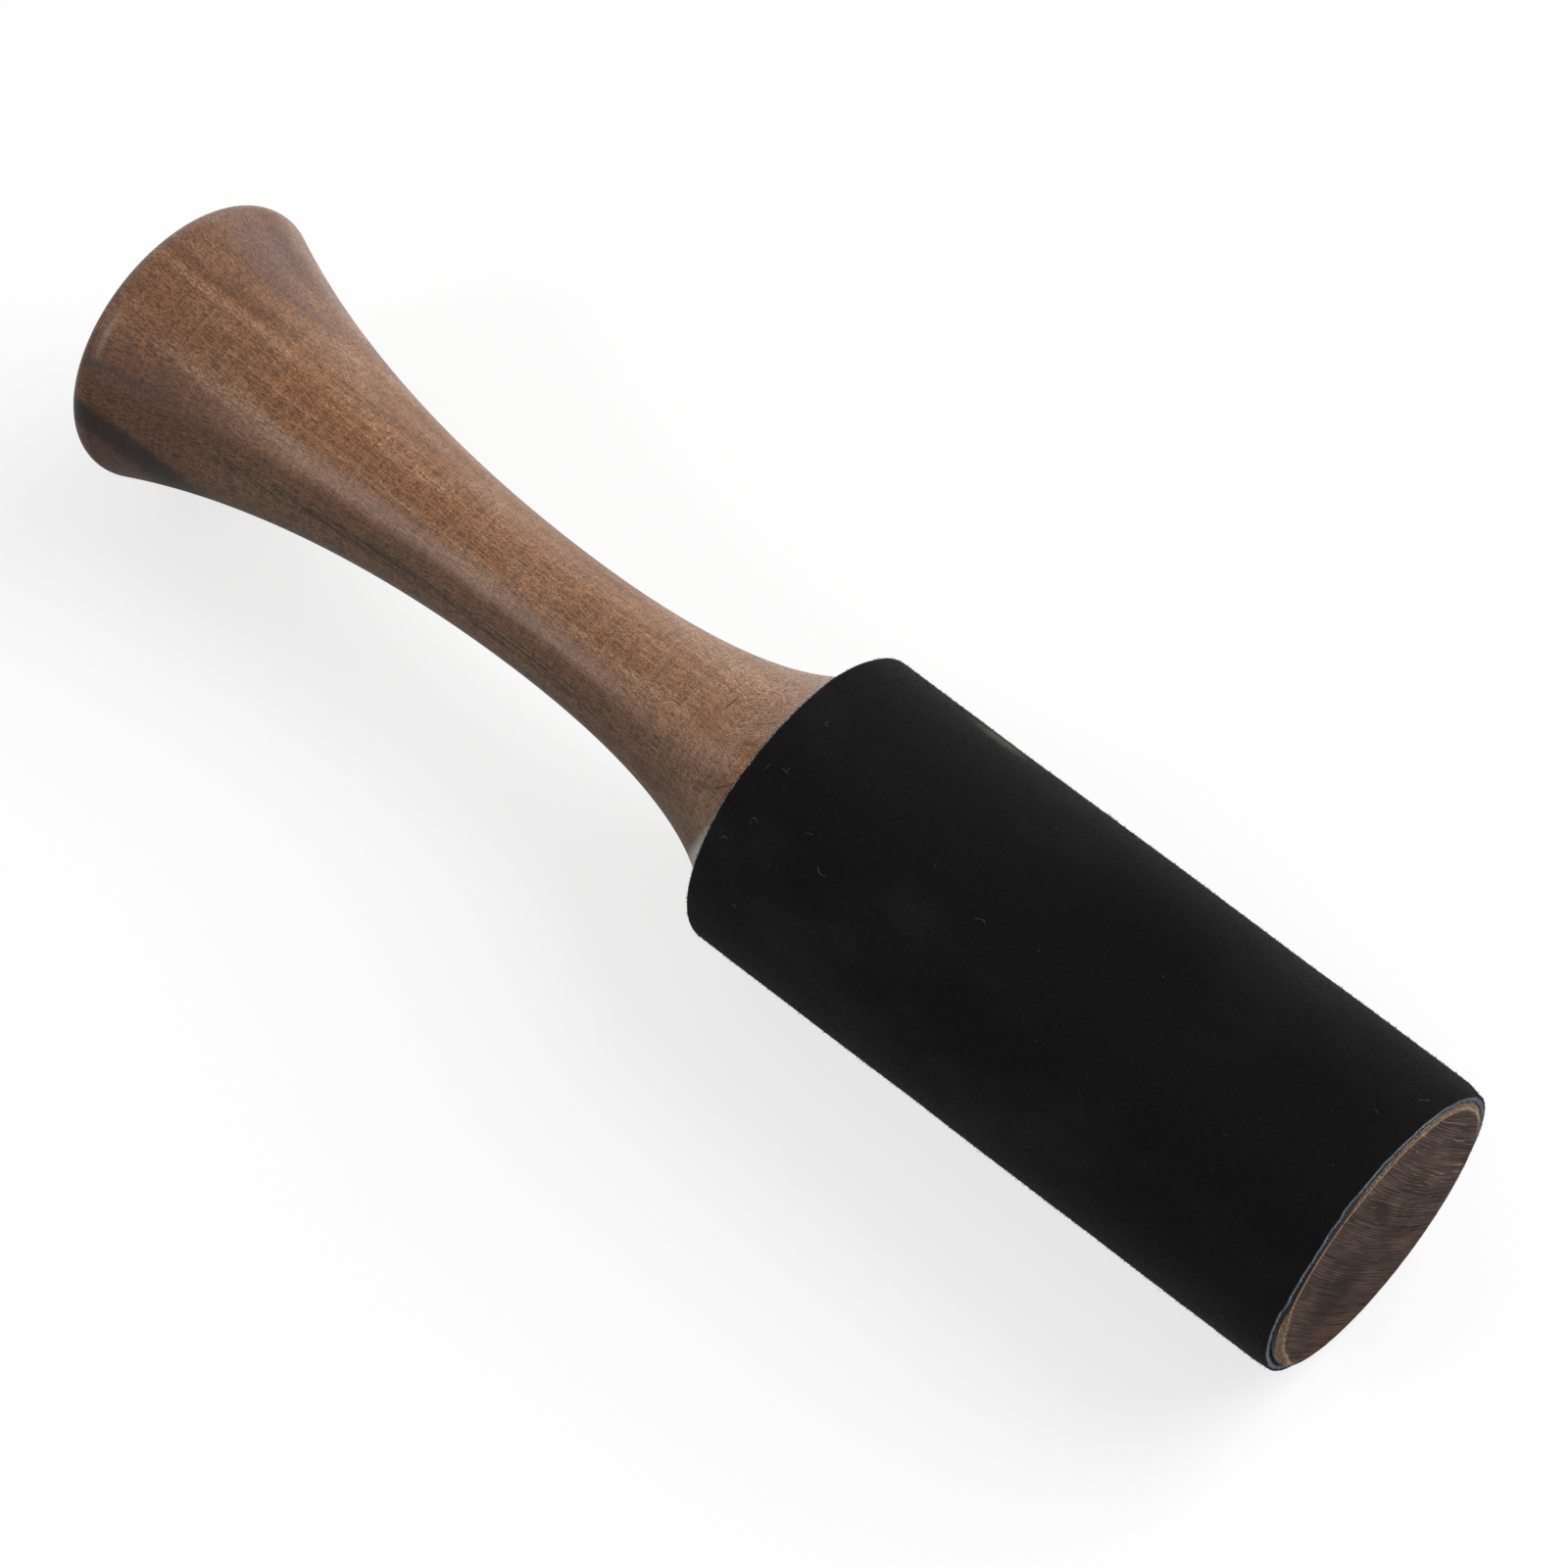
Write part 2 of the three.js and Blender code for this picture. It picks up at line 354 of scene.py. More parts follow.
class GeometryGraph(Graph):
    """A geometry group with an input for each named value, of that value's kind."""

    SOCKETS = {
        float: "NodeSocketFloat", int: "NodeSocketInt", str: "NodeSocketString",
        bpy.types.Material: "NodeSocketMaterial", bpy.types.Object: "NodeSocketObject",
    }

    def __init__(self, name, values):
        super().__init__(bpy.data.node_groups.new(name, "GeometryNodeTree"))
        interface = self.tree.interface
        interface.new_socket("Geometry", in_out="OUTPUT", socket_type="NodeSocketGeometry")
        for label, value in values.items():
            interface.new_socket(label, in_out="INPUT", socket_type=self.SOCKETS[type(value)])
        self.entry = self.tree.nodes.new("NodeGroupInput")

    def __getitem__(self, label):
        """The group's input of that name."""
        return Wire(self, self.entry, label)

    def switch(self, test, when_false, when_true):
        return self.node(
            "GeometryNodeSwitch", {"input_type": "FLOAT"},
            {"Switch": test, "False": when_false, "True": when_true},
        )

    def end(self, geometry, material):
        """Realize Instances and Set Material close every tree."""
        real = self.node("GeometryNodeRealizeInstances", {}, {"Geometry": geometry})
        return self.node("GeometryNodeSetMaterial", {}, {"Geometry": real, "Material": material})

    def finish(self, geometry):
        out = self.tree.nodes.new("NodeGroupOutput")
        self.tree.links.new(geometry.socket, out.inputs["Geometry"])


def run_tree(name, build, values, *places):
    """An object whose plain mesh is what the tree that build makes gives for these values."""
    graph = GeometryGraph(name, values)
    build(graph, *places)
    piece = bpy.data.objects.new(name, bpy.data.meshes.new(name))
    bpy.context.scene.collection.objects.link(piece)
    modifier = piece.modifiers.new("build", "NODES")
    modifier.node_group = graph.tree
    for item in graph.tree.interface.items_tree:
        if item.in_out == "INPUT":
            modifier[item.identifier] = values[item.name]
    depsgraph = bpy.context.evaluated_depsgraph_get()
    plain = bpy.data.meshes.new_from_object(piece.evaluated_get(depsgraph), depsgraph=depsgraph)
    piece.modifiers.remove(modifier)
    piece.data = plain
    plain.name = name
    return piece


def sizes_of(group):
    """The sizes of a property group under the names that a tree's inputs have."""
    labels = {key: group.bl_rna.properties[key].name for key in group.__annotations__}
    return {label: getattr(group, key) for key, label in labels.items()}


def check_closed(piece):
    """Raises an error if the mesh is empty, open or inside out."""
    mesh = piece.data
    if not mesh.polygons:
        raise RuntimeError(f"{piece.name} came out empty")
    uses = {}
    volume = 0.0
    for face in mesh.polygons:
        for key in face.edge_keys:
            uses[key] = uses.get(key, 0) + 1
        corners = [mesh.vertices[i].co for i in face.vertices]
        for second, third in zip(corners[1:], corners[2:]):
            volume += corners[0].dot(second.cross(third)) / 6
    if any(n != 2 for n in uses.values()):
        raise RuntimeError(f"{piece.name} isn't closed")
    if volume <= 0:
        raise RuntimeError(f"{piece.name} is inside out")


def dress(piece, slot, *nodes):
    """Puts a finished piece on the body, in place of CAD nodes. Its slot is not used."""
    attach(piece, BODY)
    if nodes:
        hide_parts(*nodes)


def new_material(name):
    material = bpy.data.materials.new(name)
    material.use_nodes = True
    material.node_tree.nodes.clear()
    return material, Graph(material.node_tree)


def surface(graph, inputs):
    """A Principled surface with these inputs, linked to the material's output."""
    shader = graph.node("ShaderNodeBsdfPrincipled", {}, inputs)
    graph.node("ShaderNodeOutputMaterial", {}, {"Surface": shader})


def bump(graph, height, distance):
    return graph.node("ShaderNodeBump", {}, {"Distance": distance, "Height": height})


def millimetres_from_axis(graph):
    """Object coordinates in millimetres, with the mallet's axis as the X axis."""
    place = graph.node("ShaderNodeTexCoord", output="Object")
    return graph.node(
        "ShaderNodeMapping", {},
        {"Vector": place, "Location": (0, 0, -AXIS_HEIGHT / MM), "Scale": (1 / MM, 1 / MM, 1 / MM)},
    )


# The layers of the wood stack along this direction across the axis, low on the -Y side
LAYER_ACROSS = (-0.908, -0.418)

# The broad figure, laid on in order: a colour, how strong it is, and where it lies. Each place
# names a field, in millimetres or degrees round from the top, with the two places of a ramp or
# the four of a window, or with none where the field is a mask.
FIGURE = {
    "pale layers on top": ("honey", 1.0, ("pale",), ("below", -0.5, -3.0)),
    "dark layers": ("umber", 0.40, ("tone", 0.46, 0.30)),
    # The pommel's umber is partly its own darker tone and partly painted shade on its upper side
    "top of the pommel": ("umber", 1.0, ("x", -72, -96), ("dusk",)),
    "low half of the pommel": ("umber", 0.45, ("x", -80, -94), ("below", -1.0, 2.0)),
    "flank of the pommel": ("umber", 0.50, ("x", -72, -88), ("round", -72, -58, -46, -36)),
    "strip beside the suede": ("honey", 0.22, ("x", 0, 5), ("round", -70, -60, -52, -44)),
    "waist, upper side": ("honey", 0.26, ("x", -58, -42, -26, -12), ("round", -32, -8, 6, 26)),
    "waist, low side": ("honey", 0.13, ("x", -58, -42, -26, -12), ("round", -96, -82, -66, -54)),
    "neck": ("honey", 0.45, ("x", -26, 6), ("below", 3.0, -3.0)),
    "slate streak": ("slate", 0.75, ("slate",), ("threads", 0.42, 0.58), ("x", -94, -78, -24, -6)),
    "slate by the rim": ("slate", 0.60, ("rim",), ("x", -86, -98), ("threads", 0.30, 0.60)),
    "dark streak": ("umber", 0.72, ("dark streak",), ("x", -74, -94), ("threads", 0.25, 0.60)),
    "pale streak": ("honey", 0.26, ("pale streak",), ("x", -62, -92)),
    "dark band": ("chocolate", 0.93, ("ragged", 15.3, 16.8), ("x", -80, -92)),
    "russet past the band": ("russet", 0.62, ("ragged", 18.4, 19.6)),
    "blotch on the pommel": (
        "plum", 0.75, ("x", -103, -98, -93, -86), ("round", 14, 26, 42, 56), ("cloudy", 0.45, 0.80),
    ),
}

# The fine grain: the places that its noise reads, its scale, detail and roughness, and how much
# it does to the colour and to the height
GRAIN = {
    "lines": ("layers", (0.03, 2.2, 0.35), 3.0, 0.65, 0.50, 0.2),
    "fibres": ("grain", (0.35, 3.6, 3.6), 3.0, 0.75, 0.75, 0.7),
    "threads": ("grain", (0.9, 7.4, 7.4), 2.0, 0.75, 1.80, 0.7),
    "speckle": ("solid", 5.6, 2.0, 0.75, 3.20, 0.4),
    "mottle": ("solid", 0.45, 3.0, 0.6, 0.24, 0.0),
    "ripple": ("grain", (1.9, 0.65, 0.65), 2.0, 0.6, 0.30, 0.0),
    "lathe": ("turns", (4.6, 0.03, 2.0), 2.0, 0.6, 0.90, 0.5),
}

# Cut pores: cells to the millimetre along and across the grain, the share of cells that hold
# one, and how dark it is
LONG_PORES = (0.85, 5.6, 0.60, 0.9)
SHORT_PORES = (2.1, 8.0, 0.90, 0.9)
VESSELS = (0.38, 5.2, 0.42, 1.0)

# Marks of the wood: x of the middle in millimetres, degrees round from the top, radius there,
# degrees that the mark leans off the grain, half its length and half its width
DARK_MARKS = {
    "knot fleck": (1.7, -5.5, 13.7, 82, 1.9, 0.20),
    "dark thread": (8.6, -8.6, 16.9, 23, 3.0, 0.11),
    "curved streak, right": (9.6, -41.6, 17.6, 44, 2.6, 0.15),
    "low fleck": (8.4, -89, 16.8, 30, 0.7, 0.10),
}
SOFT_MARKS = {
    "curved streak, left": (6.1, -49.6, 15.6, 24, 3.1, 0.36),
    "brown thread": (8.7, -20.5, 16.9, 20, 2.0, 0.30),
    "low shadow": (7.6, -78, 16.2, 30, 2.2, 0.9),
    "low wave": (-4.0, -84, 12.0, 8, 4.4, 1.1),
    "top fleck": (-84.9, 30, 17.0, 10, 1.2, 0.45),
    "second fleck": (-67.2, 22, 12.0, 10, 1.0, 0.40),
    "third fleck": (-55.3, 7, 10.2, 10, 1.0, 0.35),
    "fourth fleck": (-46.9, 7, 9.6, 10, 0.9, 0.35),
    "rim fleck": (-93.6, 2, 20.0, 10, 0.8, 0.45),
}
KNOT = (4.2, -5.0, 14.6)  # heart of the swirl: x, degrees from the top, radius there
KNOT_GLOW = (1.0, -21.0, 0.052)  # warm wood: x, degrees, and square millimetres in a square degree
SCUFF = (32.0, 51.0, 6.0, 7.0)  # rubbed spot of the suede: x, degrees, half its length and width
LATHE_LINES = (-64.6, -61.8, -58.9, -55.6, -52.1, -49.6)  # x of the faint turned rings
SAW_TILT = math.radians(33)  # which way the saw's marks run across the sawn end


def layer_fields(graph, place):
    """x, the depth through the layers and the place along a layer, in millimetres."""
    x, y, z = graph.split(place)
    across, down = LAYER_ACROSS
    return x, y * across + z * down, y * -down + z * across


def turn_from_top(graph, place):
    """Degrees round the axis from the top towards +Y."""
    _, y, z = graph.split(place)
    return graph.math("ARCTAN2", y, z) * (180 / math.pi)


def stroke(graph, x, degrees, mark):
    """1 along a short straight mark on the surface, and 0 off it."""
    middle, angle, radius, lean, half_length, half_width = mark
    along_grain = x - middle
    across_grain = (degrees - angle) * math.radians(radius)
    run, rise = math.cos(math.radians(lean)), math.sin(math.radians(lean))
    along = graph.math("ABSOLUTE", along_grain * run + across_grain * rise)
    across = graph.math("ABSOLUTE", across_grain * run - along_grain * rise)
    taper = graph.ramp_up(along, half_length, half_length * 0.3)
    return taper * graph.ramp_up(across, half_width * 1.6, half_width * 0.5)


def strongest(graph, masks):
    total = masks[0]
    for mask in masks[1:]:
        total = graph.math("MAXIMUM", total, mask)
    return total


def near(graph, place, centre, inner, outer):
    """1 near a point, falling to 0 between two distances."""
    return graph.ramp_up(graph.distance(place, centre), inner, outer, start=1.0, end=0.0)


def off_centre(graph, across, along):
    """How far a place is from a centre, from how far it is off it in two directions."""
    return graph.math("SQRT", across * across + along * along)


def figure_colour(g, finishes, x, degrees, raw_layer, cross, slow, layer):
    """The broad figure: golden on top, then russet, grey-brown with a slate streak, chocolate."""
    wander = (slow - 0.5) * 1.2
    edge = g.math("MAXIMUM", -52 - x, 0.0) * 0.105 + 5.2  # the layers drop towards the pommel
    below = raw_layer + wander - edge
    layers = g.vector(x, layer, cross)
    tone = g.noise(layers, (0.014, 0.55, 0.08), detail=3.0, roughness=0.6)
    patches = g.noise(layers, (0.06, 0.22, 0.12))
    threads = g.noise(g.vector(x, raw_layer, cross), (0.05, 3.2, 0.8), detail=3.0, roughness=0.7)
    past_middle = x + 30
    slate_depth = past_middle * past_middle * 0.00141 + 7.1
    rim_depth = (x + 103.6) * -0.24 + 11.4
    fields = {
        "x": x, "round": degrees, "below": below, "tone": tone, "threads": threads,
        "pale": g.ramp_up(tone, 0.50, 0.68) * 0.45 + g.ramp_up(patches, 0.48, 0.64) * 0.30,
        # Painted shade: darker still from about 28 degrees round, where a reflection lights the pommel,
        # fading out between 45 and 75 degrees
        "dusk": g.ramp_up(degrees, 75, 45) * (0.44 + g.ramp_up(degrees, 8, 28) * 0.24),
        "slate": g.band(raw_layer + wander, slate_depth, 0.25, 1.1),
        "rim": g.band(raw_layer + wander * 0.5, rim_depth, 0.1, 1.1),
        "dark streak": g.band(raw_layer + wander * 0.6, -8.6, 0.2, 1.1),
        "pale streak": g.band(raw_layer, -6.6, 0.2, 1.2),
        "ragged": raw_layer + wander * 0.6 + (threads - 0.5) * 2.2,
        "cloudy": patches + threads * 0.4,
    }
    broad = g.node(
        "ShaderNodeValToRGB",
        {"stops": [
            (0.0, finishes.golden), (0.20, finishes.golden), (0.44, finishes.russet),
            (0.62, finishes.grey_brown), (1.0, finishes.grey_brown),
        ]},
        {"Fac": g.ramp_up(below, -3.8, 4.5, "LINEAR")},
    )
    for name, strength, *limits in FIGURE.values():
        broad = g.mix(broad, getattr(finishes, name), g.where(fields, limits) * strength)
    return broad


def fine_grain(g, places, degrees):
    """How much lighter the fine grain makes the wood, its pores, its height and its mottle."""
    fine, height, noises = 1.0, 0.0, {}
    for name, (read, scale, detail, roughness, in_colour, in_height) in GRAIN.items():
        noises[name] = g.noise(places[read], scale, detail, roughness) - 0.5
        fine = noises[name] * in_colour + fine
        if in_height:
            height = noises[name] * in_height + height
    vessels = pore_dashes(g, places["grain"], *VESSELS) * g.ramp_up(degrees, 40, -20)
    dashes = [pore_dashes(g, places["grain"], *size) for size in (LONG_PORES, SHORT_PORES)]
    pores = strongest(g, [*dashes, vessels])
    return fine, pores, height - pores * 0.9, noises["mottle"]


def pore_dashes(g, grain, along, across, kept, dark):
    """Short dashes strewn at random along the grain, as cut pores are."""
    stretched = g.vector_math("MULTIPLY", grain, (along, across, across))
    cells = g.node("ShaderNodeTexVoronoi", {}, {"Vector": stretched, "Scale": 1.0})
    chance, _, _ = g.split(cells.other("Color"))
    return g.ramp_up(cells, 0.42, 0.26) * g.ramp_up(chance, kept + 0.05, kept - 0.05) * dark


def along_surface(g, place, swirl):
    """Places for the fine grain, which runs nearly along the surface where the profile flares."""
    x, y, z = g.split(place)
    radius = g.math("SQRT", y * y + z * z)
    spread = 0.22 + 11 / radius
    return g.vector(x, y * spread + swirl * 2.4, z * spread - swirl * 0.8)


def knot_figure(g, finishes, tint, x, degrees, from_knot, mottle):
    """The small knot on the neck: its arcs, and the warm wood beside it."""
    arcs = g.math("SINE", from_knot * 6.0 + mottle * 12.0)
    shell = g.window(from_knot, 0.6, 1.4, 2.6, 4.2) * g.ramp_up(x - KNOT[0], -3.0, -1.0)
    tint = g.shaded(tint, 1 + arcs * shell * 0.18)
    glow_x, glow_angle, spread = KNOT_GLOW
    from_glow = off_centre(g, x - glow_x, (degrees - glow_angle) * math.sqrt(spread))
    return g.mix(tint, finishes.glow, g.ramp_up(from_glow, 5.5, 0.8) * 0.40)


def wood_marks(g, finishes, tint, x, degrees):
    """The flecks and threads, the lathe's rings, and painted sheen on the neck beside the suede."""
    for marks, over, strength in (
        (DARK_MARKS, finishes.pore, 0.72), (SOFT_MARKS, finishes.umber, 0.65),
    ):
        strokes = strongest(g, [stroke(g, x, degrees, mark) for mark in marks.values()])
        tint = g.mix(tint, over, strokes * strength)
    rings = strongest(g, [g.band(x, ring_x, 0.03, 0.10) for ring_x in LATHE_LINES])
    tint = g.shaded(tint, 1 - rings * g.window(degrees, -60, -45, 35, 50) * 0.22)
    # Painted sheen: the neck beside the suede is painted pale on its low side and on its upper side, as
    # the reflection that it shows there
    low = g.ramp_up(x - degrees * 0.11, 16.2, 18.8) * g.ramp_up(degrees, -135, -105)
    top = g.ramp_up(x, 7.0, 13.0) * g.ramp_up(degrees, 0, 45)
    tint = g.mix(tint, finishes.pale_rim_and_painted_sheen, low * 0.72 + top * 0.40)
    return g.mix(tint, finishes.suede, g.ramp_up(x, 80, 82))


def wood_material(finishes):
    material, g = new_material("turned_hardwood")
    place = millimetres_from_axis(g)
    x, raw_layer, cross = layer_fields(g, place)
    degrees = turn_from_top(g, place)
    slow = g.noise(place, (0.012, 0.05, 0.05), detail=1.5)

    # The grain bends round the knot, and everything fine follows it
    knot_x, knot_angle, knot_radius = KNOT
    from_knot = off_centre(g, x - knot_x, (degrees - knot_angle) * math.radians(knot_radius))
    swirl = g.ramp_up(from_knot, 9.0, 0.0)
    layer = raw_layer + (slow - 0.5) * 3.0 - swirl * 2.0
    tint = figure_colour(g, finishes, x, degrees, raw_layer, cross, slow, layer)
    places = {
        "solid": place, "grain": along_surface(g, place, swirl),
        "layers": g.vector(x, layer, cross), "turns": g.vector(x, degrees, 1.0),
    }
    fine, pores, height, mottle = fine_grain(g, places, degrees)
    tint = g.mix(g.shaded(tint, fine), finishes.pore, pores * 0.74)
    tint = knot_figure(g, finishes, tint, x, degrees, from_knot, mottle)
    tint = wood_marks(g, finishes, tint, x, degrees)
    surface(g, {
        "Base Color": tint, "Roughness": 0.40 + mottle * 0.12 + pores * 0.20,
        "Specular IOR Level": 0.05, "Coat Weight": 0.70, "Coat Roughness": 0.25,
        "Normal": bump(g, height, 0.06 * MM),
    })
    return material


def saw_lines(graph, y, z, radius):
    """Which saw mark a place on the sawn end lies on: the marks are arcs, one after another."""
    forward = y * math.cos(SAW_TILT) + z * math.sin(SAW_TILT)
    sideways = z * math.cos(SAW_TILT) - y * math.sin(SAW_TILT)
    return forward - sideways * sideways / (2 * radius)


def sawn_face(g, finishes, place, y, z, wood):
    """The sawn face: its dull brown colour under curved saw marks, and its height."""
    mark = saw_lines(g, y, z, wood.saw_radius / MM)
    side = z * 0.84 - y * 0.54
    wavy = mark + (g.noise(g.vector(mark, side, 1.0), (0.2, 0.08, 1.0)) - 0.5) * 0.5
    lines = g.vector(wavy, side, 1.0)
    patches = g.noise(lines, (0.20, 0.08, 0.0), detail=3.0, roughness=0.6)
    drift = g.noise(lines, (0.9, 0.03, 9.0), roughness=0.6)
    strokes = g.math("SINE", wavy * 13.0 + (drift - 0.5) * 26.0)
    streaks = g.noise(lines, (1.4, 0.05, 3.0), detail=3.0, roughness=0.6)
    scratches = g.noise(lines, (6.0, 0.06, 7.0), detail=3.0, roughness=0.7) - 0.5
    grit = g.noise(place, 3.5, detail=3.0, roughness=0.7) - 0.5
    toward_top = g.ramp_up(mark, -4.0, 14.0)
    face = g.vector(0.0, y, z)
    dark_zone = near(g, face, (0, -8, -4), 2.0, 10.5)
    middle_streak = near(g, g.vector(0.0, y * 0.94 + z * 0.33, z * 0.20), (0, 1.5, 1.4), 0.5, 2.4)
    low = strongest(g, [g.ramp_up(patches, 0.42, 0.62) * 0.6, dark_zone * 0.75, middle_streak * 0.80])
    dark_lines = g.ramp_up(strokes, -0.55, -0.95) * g.ramp_up(streaks, 0.62, 0.42)
    pale_lines = g.ramp_up(strokes, 0.80, 0.98) * g.ramp_up(streaks, 0.36, 0.60)
    tint = finishes.end_grain
    for over, mask in (
        (finishes.end_dark, low),
        (finishes.russet, near(g, face, (0, -9, -16), 1.0, 8.0) * 0.28),
        (finishes.end_dark, dark_lines * (0.90 - toward_top * 0.30)),
        (finishes.end_pale, pale_lines * (0.22 + toward_top * 0.75)),
    ):
        tint = g.mix(tint, over, mask)
    tint = g.shaded(tint, 1 + scratches * 2.2 + grit * 1.4)
    return tint, scratches + strokes * 0.12 + grit * 0.5


def torn_arris(g, finishes, tint, place, x):
    """The arris: side wood that shows, a pale torn line within it, partly a painted highlight, and tan
    splinters on it; painted light on its low side, and painted shade where it lies deep under the suede.
    """
    across = g.node("ShaderNodeAttribute", {"attribute_name": "across"}, output="Fac")
    degrees = turn_from_top(g, place)
    low_side = g.window(degrees, -130, -118, -78, -70)
    top_side = g.window(degrees, -28, -12, 60, 82)
    ragged = g.noise(place, (2.0, 2.6, 2.6), detail=4.0, roughness=0.75)
    fibrous = g.noise(place, 4.2, detail=3.0, roughness=0.75)
    tan = g.math("MINIMUM", low_side + top_side * 0.80, 1.0) * g.ramp_up(ragged, 0.38, 0.60)
    # Painted light: the arris is painted lighter on its low side, where it lies in shade; the rest of
    # this factor is the fibres' own tone
    light = 0.4 + (fibrous - 0.5) * 4.5 + ragged * 0.9 + low_side * 0.4
    rim_tint = g.shaded(g.mix(finishes.arris, finishes.torn, tan), light)
    on_rim = g.ramp_up(across + (ragged - 0.5) * 1.2, 1.30, 1.05)
    pale_line = g.band(across + (ragged - 0.5) * 0.4, 1.02, 0.10, 0.16) * g.ramp_up(ragged, 0.36, 0.50)
    # Painted shade: wood that lies more than about 0.3 mm below the end is painted in the suede's black,
    # as shade in the gap under the suede's cut edge, a little less on the low side
    below = SAWN_END_X / MM - x + (ragged - 0.5) * 0.5 - low_side * 0.28
    for over, mask in (
        (rim_tint, on_rim * 0.95),
        # The pale torn line is the torn fibres' colour, painted only on the side where the lamps fall,
        # so it is partly a painted highlight along the arris
        (finishes.torn, pale_line * g.window(degrees, -135, -120, 70, 100) * 0.8),
        (finishes.suede, g.ramp_up(below, 0.30, 0.48) * 0.95),
    ):
        tint = g.mix(tint, over, mask)
    return tint


def end_material(finishes, wood):
    """The sawn end: dull brown end grain under curved saw marks, tan where its arris is torn."""
    material, g = new_material("sawn_end_grain")
    place = millimetres_from_axis(g)
    x, y, z = g.split(place)
    tint, height = sawn_face(g, finishes, place, y, z, wood)
    surface(g, {
        "Base Color": torn_arris(g, finishes, tint, place, x), "Roughness": 0.75,
        "Specular IOR Level": 0.10, "Normal": bump(g, height, 0.14 * MM),
    })
    return material


def cut_edge(g, finishes, tint, place, x, degrees):
    """The undyed core that shows in the cut edge, and the bare line along the rim."""
    depth = g.node("ShaderNodeAttribute", {"attribute_name": "depth"}, output="Fac")
    frayed = g.noise(place, 3.5, detail=3.0, roughness=0.7)
    covered = g.window(degrees, 18, 40, 85, 100)
    core = g.ramp_up(depth + (frayed - 0.5) * 0.9, 0.46, 0.24) * (1 - covered * 0.6)
    tint = g.mix(tint, g.shaded(finishes.core, 0.6 + frayed * 0.8), core)
    bare_rim = g.band(depth, 0.62, 0.18, 0.10) * g.ramp_up(x, 18, 15) * g.ramp_up(frayed, 0.50, 0.58)
    return g.mix(tint, finishes.pale_rim_and_painted_sheen, bare_rim * 0.7)


def suede_material(finishes):
    """Matt black suede: nap that is brushed here and there, painted shade on its upper side towards the
    sawn end, and an undyed core in the cut edge.
    """
    material, g = new_material("black_suede")
    place = millimetres_from_axis(g)
    x, _, _ = g.split(place)
    degrees = turn_from_top(g, place)
    brushed = g.noise(place, (0.04, 0.06, 0.06), detail=3.0, roughness=0.55)
    nap = g.noise(place, 2.6, detail=3.0, roughness=0.65)
    grit = g.noise(place, 9.0)
    tint = g.mix(finishes.suede, finishes.suede_worn, g.ramp_up(brushed, 0.46, 0.74) * 0.75)
    # Painted shade: the suede is painted darker on its upper side towards the sawn end
    upper_side_painted_shade = g.ramp_up(x, 30, 70) * g.ramp_up(degrees, -30, 15)
    for light in (1 + (nap - 0.5) * 1.5 + (grit - 0.5) * 1.3, 1 - upper_side_painted_shade * 0.58):
        tint = g.shaded(tint, light)
    scuff_x, scuff_angle, half_length, half_width = SCUFF
    from_scuff = off_centre(g, (x - scuff_x) / half_length, (degrees - scuff_angle) / half_width)
    tint = g.mix(tint, finishes.lint, g.ramp_up(from_scuff + (grit - 0.5) * 2.0, 1.0, 0.1) * 0.30)
    surface(g, {
        "Base Color": cut_edge(g, finishes, tint, place, x, degrees), "Roughness": 0.95,
        "Specular IOR Level": 0.10, "Sheen Weight": 0.06, "Sheen Roughness": 0.45,
        "Normal": bump(g, nap * 0.7 + grit * 0.3, 0.12 * MM),
    })
    return material


def fibre_material(name, tint, darkest, palest):
    """Loose fibres: one colour, from a darkest to a palest share of it, changing between fibres."""
    material, g = new_material(name)
    spots = g.noise(millimetres_from_axis(g), 4.5, roughness=0.7)
    surface(g, {
        "Base Color": g.shaded(tint, g.ramp_up(spots, 0.34, 0.70, start=darkest, end=palest)),
        "Roughness": 0.95, "Specular IOR Level": 0.10,
    })
    return material


def glue_material(finishes):
    """Dried contact glue: amber, smeared along the head and a little glossy."""
    material, g = new_material("contact_glue")
    place = millimetres_from_axis(g)
    smear = g.noise(place, (0.10, 0.6, 0.6), detail=4.0, roughness=0.6)
    blisters = g.noise(place, 1.8)
    surface(g, {
        "Base Color": g.shaded(finishes.glue, 0.6 + smear * 0.8), "Roughness": 0.35 + smear * 0.4,
        "Normal": bump(g, smear * 0.6 + blisters * 0.4, 0.15 * MM),
    })
    return material


def mesh_rows(graph, rows, columns):
    """A flat grid, with the number of each vertex's row and column."""
    grid = graph.node(
        "GeometryNodeMeshGrid", {},
        {"Size X": 1.0, "Size Y": 1.0, "Vertices X": rows, "Vertices Y": columns},
    )
    index = graph.node("GeometryNodeInputIndex")
    row = graph.math("FLOOR", (index + 0.5) / columns)
    return grid, row, index - row * columns


def moved(graph, geometry, x, radius, angle):
    """The grid at these places: at a radius from the axis, at an angle from the top towards +Y."""
    sideways = radius * graph.math("SINE", angle)
    upward = radius * graph.math("COSINE", angle)
    position = graph.vector(x, sideways, upward + graph["Axis height"])
    return graph.node("GeometryNodeSetPosition", {}, {"Geometry": geometry, "Position": position})


def stored(graph, geometry, name, value):
    return graph.node(
        "GeometryNodeStoreNamedAttribute", {"data_type": "FLOAT", "domain": "POINT"},
        {"Geometry": geometry, "Name": name, "Value": value},
    )


def attribute(graph, name):
    return graph.node("GeometryNodeInputNamedAttribute", {"data_type": "FLOAT"}, {"Name": name})


def joined(graph, parts):
    return graph.node("GeometryNodeJoinGeometry", {}, {"Geometry": parts})


def welded(graph, geometry):
    once = graph.node("GeometryNodeMergeByDistance", {}, {"Geometry": geometry, "Distance": WELD})
    return graph.node("GeometryNodeSetShadeSmooth", {}, {"Geometry": once})


